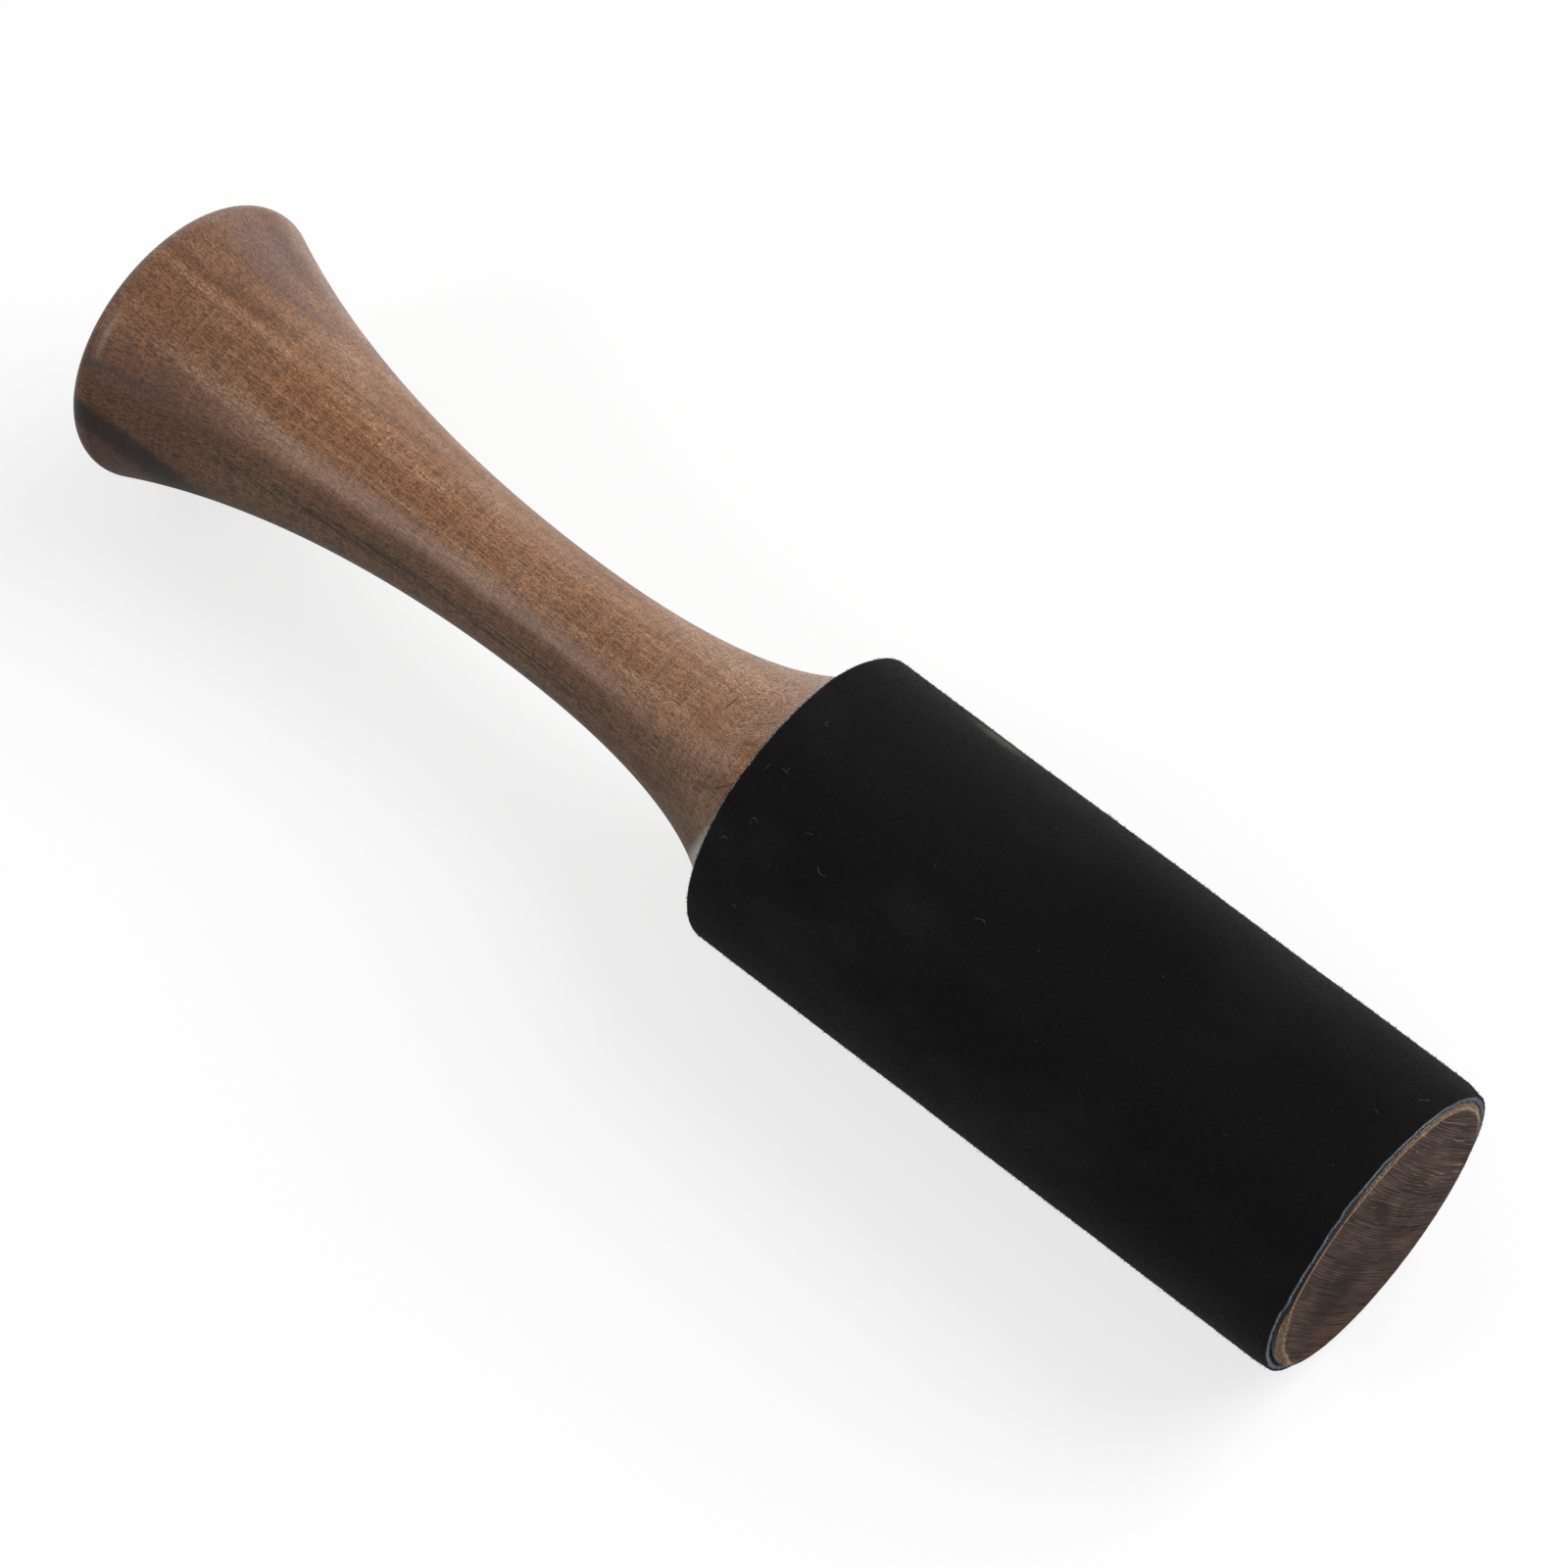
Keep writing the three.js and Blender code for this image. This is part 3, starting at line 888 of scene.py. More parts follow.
def bezier(graph, steps, start, start_handle, end_handle, end):
    """A curve from points that are given by x and y, or by x, y and z."""
    places = [each if len(each) == 3 else graph.vector(*each, 0.0)
              for each in (start, start_handle, end_handle, end)]
    names = ("Start", "Start Handle", "End Handle", "End")
    return graph.node(
        "GeometryNodeCurvePrimitiveBezierSegment", {}, {"Resolution": steps, **dict(zip(names, places))},
    )


WELD = 0.0005 * MM  # vertices that lie this close together become one
DOME_STEPS, RIM_STEPS, GRIP_STEPS, NECK_STEPS, HEAD_STEPS = 26, 20, 64, 50, 24
TEAR_ROWS, FACE_ROWS = 8, 76

# How far the handles at both ends of each curve reach, as shares of its length
GRIP_HANDLE_SHARES = (0.305, 0.331)
NECK_HANDLE_SHARES = (0.383, 0.265)

WALL_BELOW_TEAR = 1.6 * MM  # where the plain wall of the head stops and the torn arris may begin
CHIP_SCALE = 1.3 / MM  # how fine the chips along the torn arris are

# How badly the saw tore the arris, as a share of the worst tear: all round, and more where a
# window of degrees from the top says so
TEAR_ALL_ROUND, TEAR_LEAST = 0.10, 0.06
TEARS = {
    "low side": (0.40, -128, -112, -78, -68),
    "upper left": (0.04, -80, -62, -34, -20),
    "top": (0.24, -34, -16, 55, 88),
}


def profile_points(g):
    """The mallet's half profile in the XY plane, as points in order from the dome to the head."""
    end_x = g["Sawn end x"]
    shoulder_x = end_x - g["Head length"]
    waist_x = shoulder_x - g["Waist to shoulder"]
    pommel_x = shoulder_x - g["Handle length"]
    rim, dome = g["Rim radius"], g["Dome radius"]
    grip, neck = g["Grip slope"], g["Neck slope"]
    waist_r, shoulder_r = g["Waist radius"], g["Shoulder radius"]

    rim_centre = g["Pommel radius"] - rim
    reach = dome - rim
    half = g.math("ARCSINE", rim_centre / reach)
    dome_arc = arc(g, pommel_x + reach * g.math("COSINE", half), 0.0, dome, math.pi, -half, DOME_STEPS)
    sweep = half - grip - math.pi / 2
    rim_arc = arc(g, pommel_x, rim_centre, rim, math.pi - half, sweep, RIM_STEPS)

    start_x = pommel_x + rim * g.math("SINE", grip)
    start_r = rim_centre + rim * g.math("COSINE", grip)
    grip_long = waist_x - start_x
    out = grip_long * GRIP_HANDLE_SHARES[0]
    grip_curve = bezier(
        g, GRIP_STEPS, (start_x, start_r), (start_x + out, start_r - out * g.math("TANGENT", grip)),
        (waist_x - grip_long * GRIP_HANDLE_SHARES[1], waist_r), (waist_x, waist_r),
    )
    neck_long = g["Waist to shoulder"]
    back = neck_long * NECK_HANDLE_SHARES[1]
    neck_curve = bezier(
        g, NECK_STEPS, (waist_x, waist_r), (waist_x + neck_long * NECK_HANDLE_SHARES[0], waist_r),
        (shoulder_x - back * g.math("COSINE", neck), shoulder_r - back * g.math("SINE", neck)),
        (shoulder_x, shoulder_r),
    )
    wall = g.node("GeometryNodeCurvePrimitiveLine", {}, {
        "Start": g.vector(shoulder_x, shoulder_r, 0.0),
        "End": g.vector(end_x - WALL_BELOW_TEAR, g["Sawn end radius"], 0.0),
    })
    wall = g.node("GeometryNodeResampleCurve", {}, {"Curve": wall, "Count": HEAD_STEPS})
    profile = joined(g, [dome_arc, rim_arc, grip_curve, neck_curve, wall])
    points = g.node("GeometryNodeCurveToPoints", {"mode": "EVALUATED"}, {"Curve": profile})
    along, _, _ = g.split(g.node("GeometryNodeInputPosition"))
    return g.node(
        "GeometryNodeSortElements", {"domain": "POINT"}, {"Geometry": points, "Sort Weight": along},
    )


def arc(g, centre_x, centre_r, radius, start, sweep, steps):
    plain = g.node("GeometryNodeCurveArc", {"mode": "RADIUS"}, {
        "Resolution": steps, "Radius": radius, "Start Angle": start, "Sweep Angle": sweep,
    })
    return g.node("GeometryNodeTransform", {}, {
        "Geometry": plain, "Translation": g.vector(centre_x, centre_r, 0.0),
    })


def tear_amount(g, angle):
    """How far the saw tore the arris, from 0 to 1."""
    degrees = angle * (180 / math.pi)
    wrapped = g.math("WRAP", degrees, 180.0, -180.0)
    amount = TEAR_ALL_ROUND
    for worse, *ends in TEARS.values():
        amount = amount + g.window(wrapped, *ends) * worse
    ring = g.vector(g.math("COSINE", angle), g.math("SINE", angle), g["Seed"])
    coarse = g.noise(ring, 9.0)
    fine = g.noise(ring, 46.0, roughness=0.7)
    ragged = (coarse - 0.5) * 0.7 + (fine - 0.5) * 0.8
    return g.math("MAXIMUM", amount + ragged * (amount * 0.8), TEAR_LEAST)


def sawn_end(g, past, angle):
    """x and the radius past the wall, over the torn arris and in to the middle, and two masks."""
    over = g.ramp_up(past, 1.0, TEAR_ROWS, "LINEAR")
    inward = g.ramp_up(past, TEAR_ROWS, TEAR_ROWS + FACE_ROWS, "LINEAR")
    torn = tear_amount(g, angle)
    width = torn * g["Tear width"]
    depth = g.math("MINIMUM", torn * g["Tear depth"], WALL_BELOW_TEAR * 0.9)
    end_r = g["Sawn end radius"]
    on_face = g.math("GREATER_THAN", past, TEAR_ROWS + 0.5)
    radius = g.switch(on_face, end_r - width * over, (end_r - width) * (1 - inward))
    y, z = radius * g.math("SINE", angle), radius * g.math("COSINE", angle)
    chips = g.noise(g.vector(over * 1.2, y * CHIP_SCALE, z * CHIP_SCALE), detail=3.0, roughness=0.7)
    hollow = g.math("SINE", over * math.pi)
    mark = saw_lines(g, y / MM, z / MM, g["Saw radius"] / MM)
    side = z * (0.87 / MM) - y * (0.5 / MM)
    relief = g.noise(g.vector(mark * 0.85, side * 0.03, g["Seed"]), roughness=0.55)
    x = (
        g["Sawn end x"] - depth * (1 - over) - hollow * depth * (0.25 + (chips - 0.5) * 1.5)
        - g["Saw depth"] * relief * g.ramp_up(over, 0.6, 1.0)
    )
    splintered = torn * g.ramp_up(inward, 0.03, 0.0) * g.ramp_up(past, 0.0, 1.0)
    return x, radius, over + inward * 10, splintered


def turned_body(g):
    """The turned body: its profile turned about the axis, then a torn arris and a sawn face."""
    points = profile_points(g)
    walls = g.node("GeometryNodeAttributeDomainSize", {"component": "POINTCLOUD"}, {"Geometry": points})
    columns = g["Segments"] + 1
    grid, row, column = mesh_rows(g, walls + (TEAR_ROWS + FACE_ROWS), columns)
    angle = column * (2 * math.pi) / g["Segments"]
    place = g.node("GeometryNodeInputPosition")
    sampled = g.node(
        "GeometryNodeSampleIndex", {"data_type": "FLOAT_VECTOR", "domain": "POINT", "clamp": True},
        {"Geometry": points, "Value": place, "Index": row}, "Value",
    )
    wall_x, wall_r, _ = g.split(sampled)
    past = row - walls + 1
    past_wall = g.math("GREATER_THAN", past, 0.5)
    end_x, end_r, across, splintered = sawn_end(g, past, angle)
    x, radius = g.switch(past_wall, wall_x, end_x), g.switch(past_wall, wall_r, end_r)
    shaped = moved(g, grid, x, radius, angle)
    for name, value in (("across", across), ("torn", splintered), ("end", past_wall)):
        shaped = stored(g, shaped, name, value)
    dressed = g.end(welded(g, shaped), g["Wood"])
    on_end = g.math("GREATER_THAN", attribute(g, "end"), 0.5)
    g.finish(g.node("GeometryNodeSetMaterial", {}, {
        "Geometry": dressed, "Selection": on_end, "Material": g["End grain"],
    }))


ROLL_STEPS, CUT_STEPS = 6, 5
RIM_OVERHANG = 0.75 * MM  # the rim reaches this far past the shoulder, over the neck
SEAM_WANDER = 0.022  # radians that each end of the strip wanders
WANDER_COLUMNS = 20.0  # and the columns beside the seam that wander with it
EDGE_WAVE = 0.50 * MM  # how far the rim and the cut edge wave
FRAY, FRAY_LEVEL = 0.35 * MM, 0.35  # how far the cut edge frays, past this level of its noise
SEAM_LIFT = 0.10 * MM  # the skin stands higher beside the seam
EDGE_PRESS = 0.15 * MM  # the cut edge is pressed down on to the wood past the glue
SIDE_PRESS = 0.30 * MM  # and further on the +Y side
PRESS_LENGTH = 2.5 * MM  # how far in from the cut edge the press starts

# The knife wandered on the -Y side: two short stretches of the edge reach further, each by a
# length, in a window of degrees from the top
CUT_JOGS = ((0.30 * MM, -71, -67, -41, -37), (0.16 * MM, -41, -37, -30, -26))


def strip_angle(g, column, seam_side, seam_turn, along, mean_radius):
    """How far round the head a column of the strip lies: its two ends roll down into the seam."""
    columns = g["Segments"]
    gap_turn = g["Seam gap"] / mean_radius
    roll_turn = g["Edge roll"] / mean_radius
    from_seam = (1 - g.math("COSINE", seam_turn)) * roll_turn
    plain_share = g.ramp_up(column, ROLL_STEPS, columns - ROLL_STEPS, "LINEAR")
    first_half = g.math("LESS_THAN", column, columns / 2)
    span = 2 * math.pi - gap_turn - 2 * roll_turn
    edge_offset = (from_seam - roll_turn) * (first_half * 2 - 1)
    angle = g["Seam angle"] + gap_turn / 2 + roll_turn + plain_share * span + edge_offset
    ends = g.vector(along * 9.0, first_half * 3.0, g["Seed"])
    wander = g.noise(ends, detail=3.0, roughness=0.6)
    return angle + (wander - 0.5) * g.ramp_up(seam_side, WANDER_COLUMNS, 0.0) * SEAM_WANDER


def strip_length(g, angle, degrees, along, rim_turn, cut_close):
    """x of the strip, and x of its cut edge at that angle."""
    roll = g["Edge roll"]
    ring = g.vector(g.math("COSINE", angle), g.math("SINE", angle), g["Seed"])
    rim_wave = (g.noise(ring, 2.6, detail=3.0, roughness=0.6) - 0.5) * EDGE_WAVE
    cut_wave = (g.noise(ring, 5.0, detail=4.0, roughness=0.65) - 0.5) * EDGE_WAVE
    skew = g["Skew"] / 2 * g.math("COSINE", angle - g["Skew angle"])
    jog, small_jog = [g.window(degrees, *ends) * reach for reach, *ends in CUT_JOGS]
    cut_x = g["Cut x"] + skew + cut_wave + (jog + small_jog)
    rim_x = g["Rim x"] + rim_wave - RIM_OVERHANG
    rolled = (1 - g.math("COSINE", rim_turn)) * roll
    x = rim_x + rolled + (cut_x - rim_x - roll) * along
    fray = g.noise(g.vector(angle * 22.0, cut_close * 1.5, g["Seed"]), detail=3.0, roughness=0.7)
    return x + g.math("SINE", cut_close * (math.pi / 2)) * (fray - FRAY_LEVEL) * FRAY, cut_x


def wrap_side(g, sign):
    """One face of the suede strip, from its middle out: the outer skin, or the one on the glue."""
    rows, columns = g["Rows"], g["Segments"]
    grid, row, column = mesh_rows(g, rows + 1, columns + 1)

    # Round the handle-side rim, then run along the head, then close over the cut edge
    rim_turn = g.ramp_up(row, 0.0, ROLL_STEPS, "LINEAR") * (math.pi / 2)
    along = g.ramp_up(row, ROLL_STEPS, rows - CUT_STEPS, "LINEAR")
    cut_close = g.ramp_up(row, rows - CUT_STEPS, rows, "LINEAR")
    seam_side = g.math("MINIMUM", column, columns - column)
    seam_turn = g.ramp_up(seam_side, 0.0, ROLL_STEPS, "LINEAR") * (math.pi / 2)

    mean_radius = g["Rim radius"] - g["Thickness"] / 2
    angle = strip_angle(g, column, seam_side, seam_turn, along, mean_radius)
    degrees = g.math("WRAP", angle * (180 / math.pi), 180.0, -180.0)
    x, cut_x = strip_length(g, angle, degrees, along, rim_turn, cut_close)

    half = g["Thickness"] / 2
    full = g.math("SINE", rim_turn) * g.math("SINE", seam_turn) * g.math("SQRT", 1 - cut_close)
    head_share = (x - g["Rim x"]) / (g["Cut x"] - g["Rim x"])
    middle = mean_radius - g["Taper"] * head_share
    radius = middle + half * full * sign
    if sign > 0:
        wide = g.vector(x * (0.035 / MM), g.math("COSINE", angle) * 1.1, g.math("SINE", angle) * 1.1)
        lumps = g.noise(wide, 1.0, detail=3.0, roughness=0.55)
        near_seam = g.ramp_up(seam_side, 2.0, 14.0, start=1.0, end=0.0)
        radius = radius + ((lumps - 0.5) * 2 * g["Unevenness"] + near_seam * SEAM_LIFT) * full
    pressed = EDGE_PRESS + g.ramp_up(degrees, 0, 45) * g.ramp_up(degrees, 140, 100) * SIDE_PRESS
    radius = radius - g.ramp_up(x, cut_x - PRESS_LENGTH, cut_x) * pressed
    return stored(g, moved(g, grid, x, radius, angle), "depth", full)


def suede_strip(g):
    """The suede strip wrapped round the head, closed along its rim, seam and cut edge."""
    outside = wrap_side(g, 1)
    inside = g.node("GeometryNodeFlipFaces", {}, {"Mesh": wrap_side(g, -1)})
    g.finish(g.end(welded(g, joined(g, [outside, inside])), g["Suede"]))


# Where each kind of fibre grows: between which values of its mask and between which x, how far
# in radians it may lean, and the darkest and the palest share of its colour
FIBRE_ZONES = {
    "suede_nap": ((0.3, 1.5), (SHOULDER_X - 2 * MM, SAWN_END_X), 0.9, (0.35, 3.2)),
    "core_fibres": ((-0.1, 0.45), (SAWN_END_X - 3 * MM, SAWN_END_X + 1 * MM), 1.1, (0.25, 1.5)),
    "rim_fibres": ((-0.1, 0.95), (SHOULDER_X - 3 * MM, SHOULDER_X + 2 * MM), 1.0, (0.3, 1.1)),
    "splinters": ((0.30, 2.0), (SAWN_END_X - 3 * MM, SAWN_END_X + 1 * MM), 1.2, (0.25, 1.2)),
}
SPIN = 6.28  # radians that a fibre may be turned on the spot, nearly a whole turn
FIBRE_LENGTH_SHARES = (0.4, 1.25)  # the shortest and the longest, as shares of the length given


def fuzz(g):
    """Short fibres that stand up from a surface. Each is a closed spike with four faces."""
    seed = g["Seed"]
    ground = g.node("GeometryNodeObjectInfo", {}, {"Object": g["Surface"]}, "Geometry")
    x, _, _ = g.split(g.node("GeometryNodeInputPosition"))
    mask = attribute(g, g["Mask"])
    within = (
        g.math("GREATER_THAN", x, g["From x"]) * g.math("LESS_THAN", x, g["To x"])
        * g.math("GREATER_THAN", mask, g["At least"]) * g.math("LESS_THAN", mask, g["At most"])
    )
    apart = g.node(
        "GeometryNodeSeparateGeometry", {"domain": "FACE"}, {"Geometry": ground, "Selection": within},
    )
    area = g.node(
        "GeometryNodeAttributeStatistic", {"data_type": "FLOAT", "domain": "FACE"},
        {"Geometry": apart, "Attribute": g.node("GeometryNodeInputMeshFaceArea")}, "Sum",
    )
    spread = g.node(
        "GeometryNodeDistributePointsOnFaces", {"distribute_method": "RANDOM"},
        {"Mesh": apart, "Density": g["Count"] / area, "Seed": seed},
    )
    spike = g.node("GeometryNodeMeshCone", {"fill_type": "NGON"}, {
        "Vertices": 3, "Side Segments": 1, "Fill Segments": 1, "Radius Top": 0.0,
        "Radius Bottom": g["Width"] / 2, "Depth": g["Length"],
    })
    lean = g["Lean"]
    tilt = g.node(
        "FunctionNodeRandomValue", {"data_type": "FLOAT_VECTOR"},
        {"Min": g.vector(-lean, -lean, 0.0), "Max": g.vector(lean, lean, SPIN), "Seed": seed + 1},
    )
    turned = g.node("FunctionNodeRotateRotation", {"rotation_space": "LOCAL"}, {
        "Rotation": spread.other("Rotation"), "Rotate By": tilt,
    })
    shortest, longest = FIBRE_LENGTH_SHARES
    size = g.node(
        "FunctionNodeRandomValue", {"data_type": "FLOAT"},
        {"Min": shortest, "Max": longest, "Seed": seed + 2},
    )
    placed = g.node("GeometryNodeInstanceOnPoints", {}, {
        "Points": spread, "Instance": spike, "Rotation": turned, "Scale": g.vector(1.0, 1.0, size),
    })
    g.finish(g.end(placed, g["Fibre"]))


def grow_fibres(name, surface_name, mask, number, long, wide, seed, tint):
    """Fibres on a finished piece, in the zone that their name has in the table above."""
    (least, most), (start, end), lean, shades = FIBRE_ZONES[name]
    return run_tree(name, fuzz, {
        "Surface": bpy.data.objects[surface_name], "Mask": mask, "At least": least, "At most": most,
        "From x": start, "To x": end, "Count": number, "Length": long, "Width": wide, "Lean": lean,
        "Seed": seed, "Fibre": fibre_material(name, tint, *shades),
    })


LINT_LIES = 0.25 * MM  # how far above the suede loose lint lies, on top of the nap
LINT_STEPS, HAIR_STEPS, TUBE_SIDES = 12, 24, 4

# Lint that shows on the lit side: x in metres, degrees from the top, how it lies, the radius of
# its curl and how far it curls
LINT = {
    "curl by the rim": (17.7 * MM, -40, 20, 0.50 * MM, 230),
    "cross, one way": (17.6 * MM, -21.5, 60, 1.6 * MM, 40),
    "cross, other way": (17.7 * MM, -21.0, 140, 1.4 * MM, 35),
    "thread near the neck": (15.3 * MM, -24, -20, 3.0 * MM, 22),
    "small curl": (17.3 * MM, -1, 120, 0.35 * MM, 200),
    "long curl": (29.6 * MM, -41.5, 200, 0.9 * MM, 130),
    "tick": (25.3 * MM, -33, 95, 2.2 * MM, 26),
    "low curl": (15.4 * MM, -51, 40, 0.45 * MM, 150),
    "middle thread": (50.6 * MM, -22, 75, 1.5 * MM, 70),
    "speck by the end": (105.2 * MM, 6.4, 35, 0.8 * MM, 60),
    "bow by the end": (108.2 * MM, 22.5, 110, 1.8 * MM, 60),
}


def loose_fibres(g, curls):
    """Thin curled fibres, each laid at its place and turn. Each is a closed tube."""
    laid = []
    for place, facing, radius, sweep in curls:
        bow = g.node("GeometryNodeCurveArc", {"mode": "RADIUS"}, {
            "Resolution": LINT_STEPS, "Radius": radius, "Sweep Angle": sweep,
        })
        laid.append(g.node("GeometryNodeTransform", {}, {
            "Geometry": bow, "Translation": place, "Rotation": facing,
        }))
    tubes(g, joined(g, laid))


def tubes(g, curves):
    outline = g.node(
        "GeometryNodeCurvePrimitiveCircle", {},
        {"Resolution": TUBE_SIDES, "Radius": g["Thickness"] / 2},
    )
    tube = g.node(
        "GeometryNodeCurveToMesh", {}, {"Curve": curves, "Profile Curve": outline, "Fill Caps": True},
    )
    g.finish(g.end(tube, g["Fibre"]))


def lint_curls(wrap, number):
    """Where the lint lies: the pieces named above, and more at random all round the suede."""
    chance = random.Random(wrap.seed)
    lying = list(LINT.values())
    for _ in range(number):
        lying.append((
            SHOULDER_X + (SAWN_END_X - SHOULDER_X) * (0.03 + 0.94 * chance.random() ** 1.3),
            chance.uniform(-180, 180), chance.uniform(0, 360),
            chance.uniform(0.12, 0.5) * MM, chance.uniform(20, 120),
        ))
    curls = []
    for x, degrees, lie, radius, sweep in lying:
        head_share = (x - SHOULDER_X) / (SAWN_END_X - SHOULDER_X)
        height = WRAP_RADIUS - wrap.taper * head_share + LINT_LIES
        round_axis = Matrix.Rotation(-math.radians(degrees), 3, "X")
        place = Vector((x, 0, AXIS_HEIGHT)) + round_axis @ Vector((0, 0, height))
        facing = round_axis @ Matrix.Rotation(math.radians(lie), 3, "Z")
        half = math.radians(sweep) / 2
        middle = facing @ Vector((radius * math.cos(half), radius * math.sin(half), 0))
        curls.append((tuple(place - middle), tuple(facing.to_euler()), radius, 2 * half))
    return curls


# A fine hair lies on the sawn end: y and z from the axis of its ends and of its two handles
HAIR = ((-17.3, 4.3), (-13.6, -5.0), (-12.4, -8.6), (-10.9, -13.0))
HAIR_ABOVE = 0.12 * MM


def hair_strand(g):
    places = [(SAWN_END_X + HAIR_ABOVE, y * MM, AXIS_HEIGHT + z * MM) for y, z in HAIR]
    tubes(g, bezier(g, HAIR_STEPS, *places))


def settings_of(context):
    scene = context.scene
    return scene.mallet_wood, scene.mallet_wrap, scene.mallet_fibres, scene.mallet_finishes


class MALLET_OT_studio(bpy.types.Operator):
    """Sets the camera, the pale floor and the soft lamps"""

    bl_idname = "mallet.studio"
    bl_label = "Studio"

    def execute(self, context):
        studio = context.scene.mallet_studio
        set_camera(context, studio)
        make_floor(context, studio)
        set_world(context, studio)
        make_lamp(context, "side_lamp", studio.side_power)
        make_lamp(context, "top_lamp", studio.top_power, mirrored=False)
        context.scene.view_settings.view_transform = "Standard"
        return {"FINISHED"}


CAMERA_PLACE = Vector((0.23988, -0.25581, 0.54917))
CAMERA_FORWARD = Vector((-0.36628, 0.40708, -0.83674))
SENSOR_WIDTH = 36
FLOOR_HALF = 3.0
FLOOR_FADE = (0.5, 1.8)  # how far out the floor that the camera sees turns plain white
BEHIND_MALLET = 0.08  # how far behind the axis the floor's reflection has reached its full light
BACK_GLOW_RISE = (0.45, 0.90)  # how nearly towards +Y a reflection looks as the glow rises

# The lamps: which way each lies from the mallet, how far off it is, and the side of its square
LAMPS = {
    "side_lamp": ((-0.37, -0.77, 0.52), 0.95, 0.46),
    "top_lamp": ((0.38, 0.60, 0.70), 1.1, 0.9),
}


def set_camera(context, studio):
    data = bpy.data.cameras.new("camera")
    data.lens = studio.lens
    data.sensor_width = SENSOR_WIDTH
    camera = bpy.data.objects.new("camera", data)
    camera.location = CAMERA_PLACE
    camera.rotation_euler = CAMERA_FORWARD.to_track_quat("-Z", "Y").to_euler()
    context.scene.collection.objects.link(camera)
    context.scene.camera = camera


def rays_of(g):
    """1 where the camera looks, also through a clear material, and 1 where a reflection does."""
    rays = g.node("ShaderNodeLightPath", output="Is Camera Ray")
    return strongest(g, [rays, rays.other("Is Transmission Ray")]), rays.other("Is Glossy Ray")


def make_floor(context, studio):
    mesh = bpy.data.meshes.new("floor")
    corners = [(x * FLOOR_HALF, y * FLOOR_HALF, 0) for x, y in ((-1, -1), (1, -1), (1, 1), (-1, 1))]
    mesh.from_pydata(corners, [], [(0, 1, 2, 3)])
    floor = bpy.data.objects.new("floor", mesh)
    context.scene.collection.objects.link(floor)
    material, g = new_material("pale_floor")
    white = tuple(studio.floor)
    bounced, drawn = [tuple(part * level for part in white) for level in (studio.bounce, studio.drawn)]
    seen, reflected = rays_of(g)
    x, y, _ = g.split(g.node("ShaderNodeTexCoord", output="Object"))
    far = g.ramp_up(off_centre(g, x, y), *FLOOR_FADE)
    lift = studio.lift + far * (1 - studio.lift - studio.drawn * studio.ambient)
    behind = g.ramp_up(y, 0.0, BEHIND_MALLET, end=studio.mirrored_behind)
    mirrored = reflected * g.math("MAXIMUM", behind, studio.mirrored)
    surface(g, {
        "Base Color": g.mix(bounced, drawn, seen), "Roughness": 0.9, "Specular IOR Level": 0.0,
        "Emission Color": g.shaded(white, seen * lift + mirrored), "Emission Strength": 1.0,
    })
    mesh.materials.append(material)


def set_world(context, studio):
    world = bpy.data.worlds.new("studio")
    world.use_nodes = True
    world.node_tree.nodes.clear()
    g = Graph(world.node_tree)
    seen, reflected = rays_of(g)
    plain = strongest(g, [seen, reflected])
    _, towards_back, _ = g.split(g.node("ShaderNodeTexCoord", output="Generated"))
    glow = g.ramp_up(towards_back, *BACK_GLOW_RISE) * reflected * studio.back_glow
    level = plain + (1 - plain) * studio.ambient + glow
    light = g.node("ShaderNodeBackground", {}, {"Color": (1.0, 1.0, 1.0), "Strength": level})
    g.node("ShaderNodeOutputWorld", {}, {"Surface": light})
    context.scene.world = world


def make_lamp(context, name, power, mirrored=True):
    """A square soft lamp that looks at the mallet, and may show in its gloss."""
    direction, distance, side = LAMPS[name]
    data = bpy.data.lights.new(name, "AREA")
    data.shape = "SQUARE"
    data.size = side
    data.energy = power
    lamp = bpy.data.objects.new(name, data)
    towards = Vector(direction).normalized()
    lamp.location = towards * distance
    lamp.rotation_euler = (-towards).to_track_quat("-Z", "Y").to_euler()
    lamp.visible_glossy = mirrored
    context.scene.collection.objects.link(lamp)


class MALLET_OT_turned_wood(bpy.types.Operator):
    """Turns the hardwood body from its profile and saws its end"""

    bl_idname = "mallet.turned_wood"
    bl_label = "Turned wood"

    def execute(self, context):
        wood, _, _, finishes = settings_of(context)
        body = run_tree("turned_wood", turned_body, {
            **sizes_of(wood), "Head length": SAWN_END_X - SHOULDER_X, "Sawn end x": SAWN_END_X,
            "Axis height": AXIS_HEIGHT, "Wood": wood_material(finishes),
            "End grain": end_material(finishes, wood),
        })
        check_closed(body)
        dress(body, "hardwood", "turned_body")
        return {"FINISHED"}


class MALLET_OT_splinters(bpy.types.Operator):
    """Raises splinters where the saw tore the arris of the wood"""

    bl_idname = "mallet.splinters"
    bl_label = "Splinters"

    def execute(self, context):
        wood, _, fibres, finishes = settings_of(context)
        splinters = grow_fibres(
            "splinters", "turned_wood", "torn", fibres.splinter_count, fibres.splinter_length,
            fibres.splinter_width, wood.seed, finishes.torn,
        )
        dress(splinters, "hardwood")
        return {"FINISHED"}


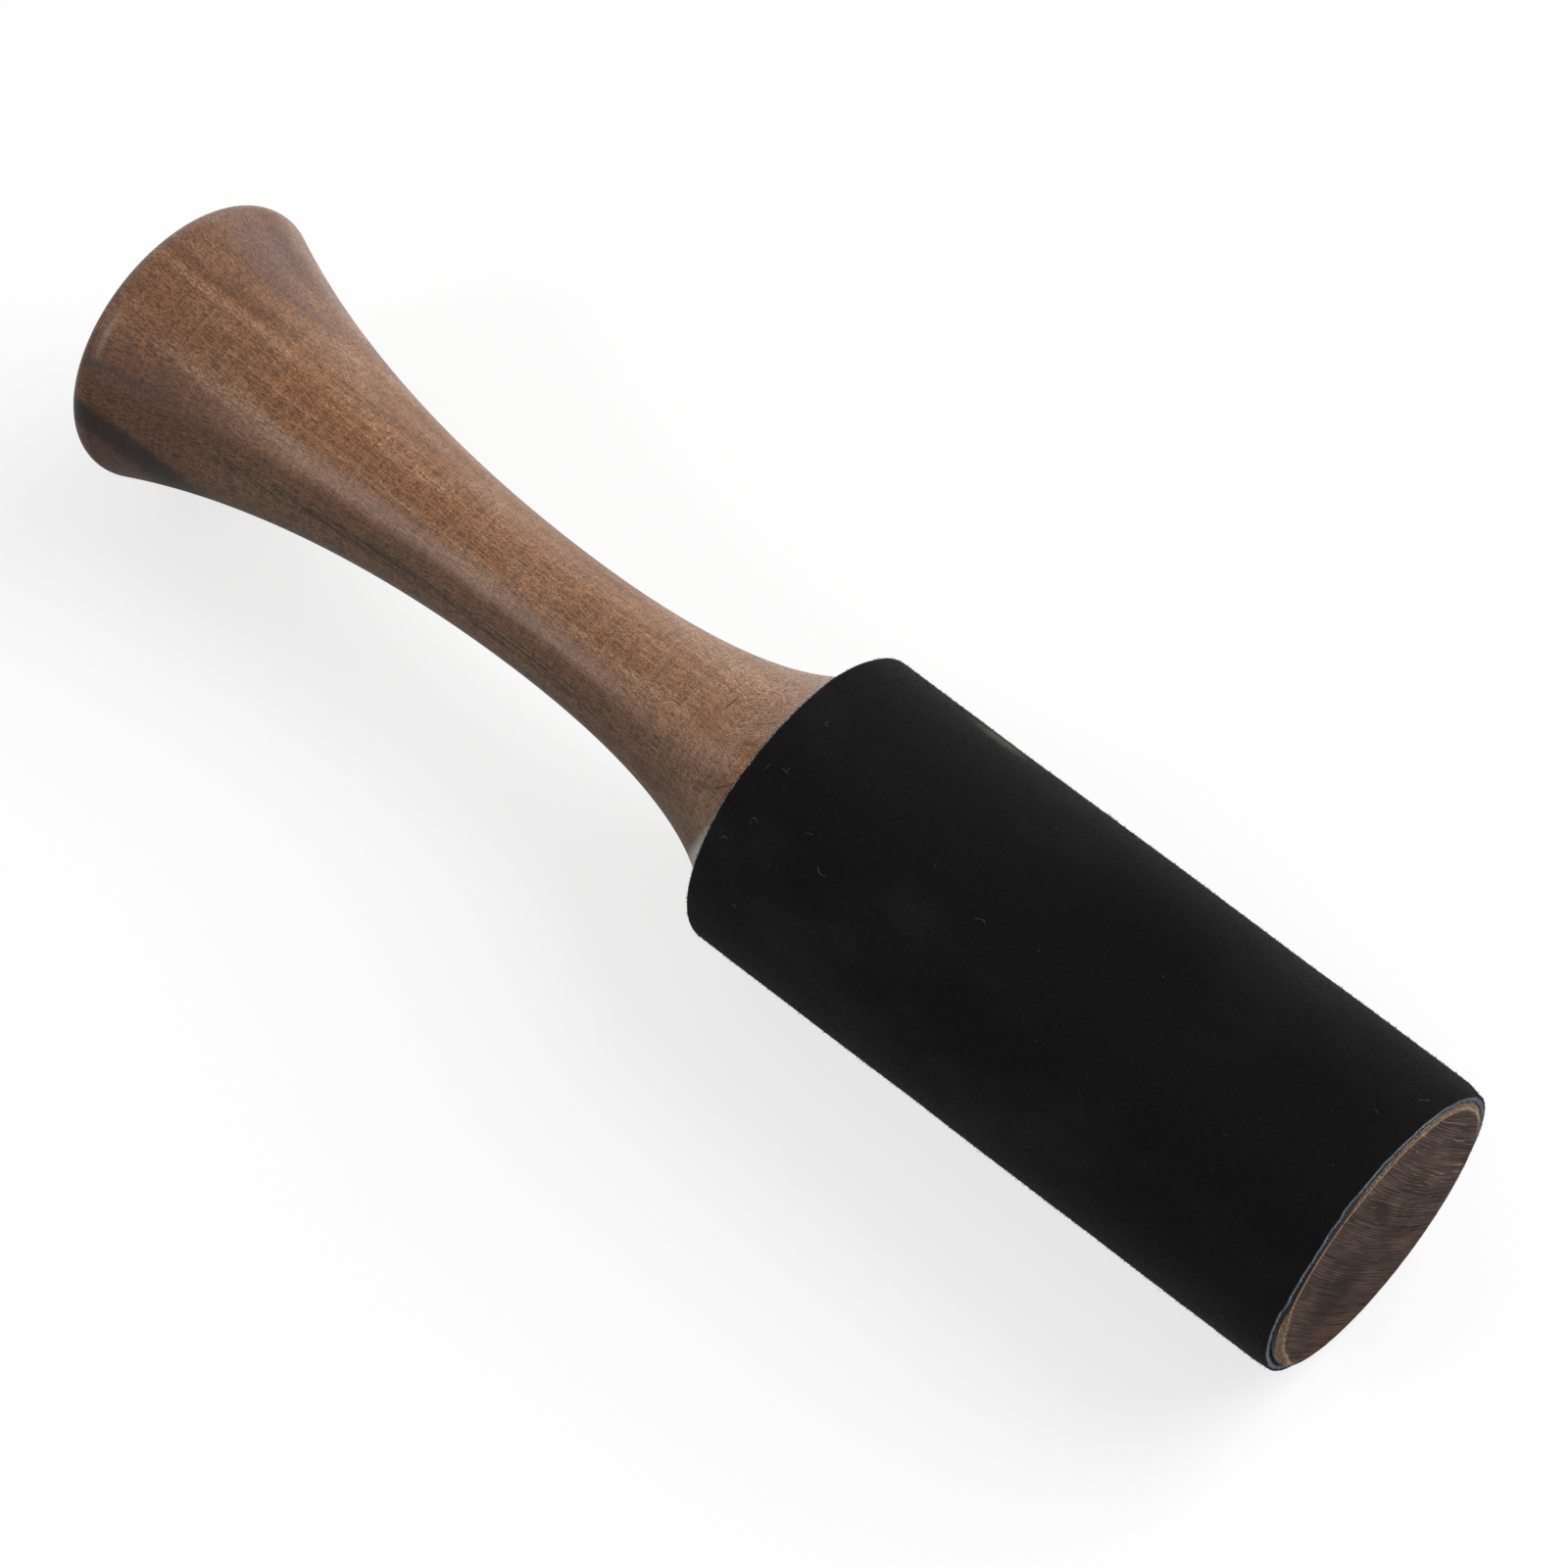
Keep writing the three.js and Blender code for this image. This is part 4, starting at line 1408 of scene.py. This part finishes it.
class MALLET_OT_suede_wrap(bpy.types.Operator):
    """Wraps the strip of suede round the head"""

    bl_idname = "mallet.suede_wrap"
    bl_label = "Suede wrap"

    def execute(self, context):
        _, wrap, _, finishes = settings_of(context)
        sizes = sizes_of(wrap)
        strip = run_tree("suede_wrap", suede_strip, {
            "Rim x": SHOULDER_X, "Cut x": SAWN_END_X - sizes.pop("Setback"), **sizes,
            "Rim radius": WRAP_RADIUS, "Axis height": AXIS_HEIGHT, "Suede": suede_material(finishes),
        })
        check_closed(strip)
        dress(strip, "suede", "suede_sleeve")
        return {"FINISHED"}


class MALLET_OT_suede_fibres(bpy.types.Operator):
    """Raises the nap of the suede and frays its cut edge and its rim"""

    bl_idname = "mallet.suede_fibres"
    bl_label = "Suede fibres"

    def execute(self, context):
        _, wrap, fibres, finishes = settings_of(context)
        kinds = {
            "suede_nap": (fibres.nap_count, fibres.nap_length, fibres.nap_width, finishes.suede),
            "core_fibres": (fibres.core_count, fibres.core_length, fibres.edge_width, finishes.core),
            "rim_fibres": (fibres.rim_count, fibres.rim_length, fibres.edge_width, finishes.lint),
        }
        grown = [
            grow_fibres(name, "suede_wrap", "depth", number, long, wide, wrap.seed + step, tint)
            for step, (name, (number, long, wide, tint)) in enumerate(kinds.items())
        ]
        for piece in grown:
            dress(piece, "suede")
        return {"FINISHED"}


class MALLET_OT_lint(bpy.types.Operator):
    """Lays loose lint on the suede and one hair on the sawn end"""

    bl_idname = "mallet.lint"
    bl_label = "Lint"

    def execute(self, context):
        _, wrap, fibres, finishes = settings_of(context)
        fibre = fibre_material("lint_fibres", finishes.lint, 0.15, 0.9)
        values = {"Thickness": fibres.lint_width, "Fibre": fibre}
        curls = lint_curls(wrap, fibres.lint_count)
        dress(run_tree("lint", loose_fibres, values, curls), "suede")
        dress(run_tree("hair", hair_strand, values), "hardwood")
        return {"FINISHED"}


class MALLET_OT_glue_finish(bpy.types.Operator):
    """Gives the glue film under the suede its finish"""

    bl_idname = "mallet.glue_finish"
    bl_label = "Glue finish"

    def execute(self, context):
        _, _, _, finishes = settings_of(context)
        material = glue_material(finishes)
        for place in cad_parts["glue_film"].material_slots:
            place.material = material
        return {"FINISHED"}


OPERATORS = (
    MALLET_OT_studio, MALLET_OT_turned_wood, MALLET_OT_splinters, MALLET_OT_suede_wrap,
    MALLET_OT_suede_fibres, MALLET_OT_lint, MALLET_OT_glue_finish,
)


class MALLET_PT_maker(bpy.types.Panel):
    """Lists the steps that make the mallet"""

    bl_idname = "MALLET_PT_maker"
    bl_label = "Singing bowl mallet"
    bl_space_type = "VIEW_3D"
    bl_region_type = "UI"
    bl_category = "Mallet"

    def draw(self, context):
        for operator in OPERATORS:
            self.layout.operator(operator.bl_idname)


SETTINGS = {
    "mallet_wood": WoodSizes, "mallet_wrap": WrapSizes, "mallet_fibres": FibreSizes,
    "mallet_finishes": Finishes, "mallet_studio": Studio,
}
CLASSES = (*SETTINGS.values(), *OPERATORS, MALLET_PT_maker)


def register():
    for each in CLASSES:
        bpy.utils.register_class(each)
    for name, group in SETTINGS.items():
        setattr(bpy.types.Scene, name, PointerProperty(type=group))


def unregister():
    for name in SETTINGS:
        delattr(bpy.types.Scene, name)
    for each in reversed(CLASSES):
        bpy.utils.unregister_class(each)


def main():
    register()
    for operator in OPERATORS:
        group, action = operator.bl_idname.split(".")
        getattr(getattr(bpy.ops, group), action)()


if __name__ == "__main__":
    main()
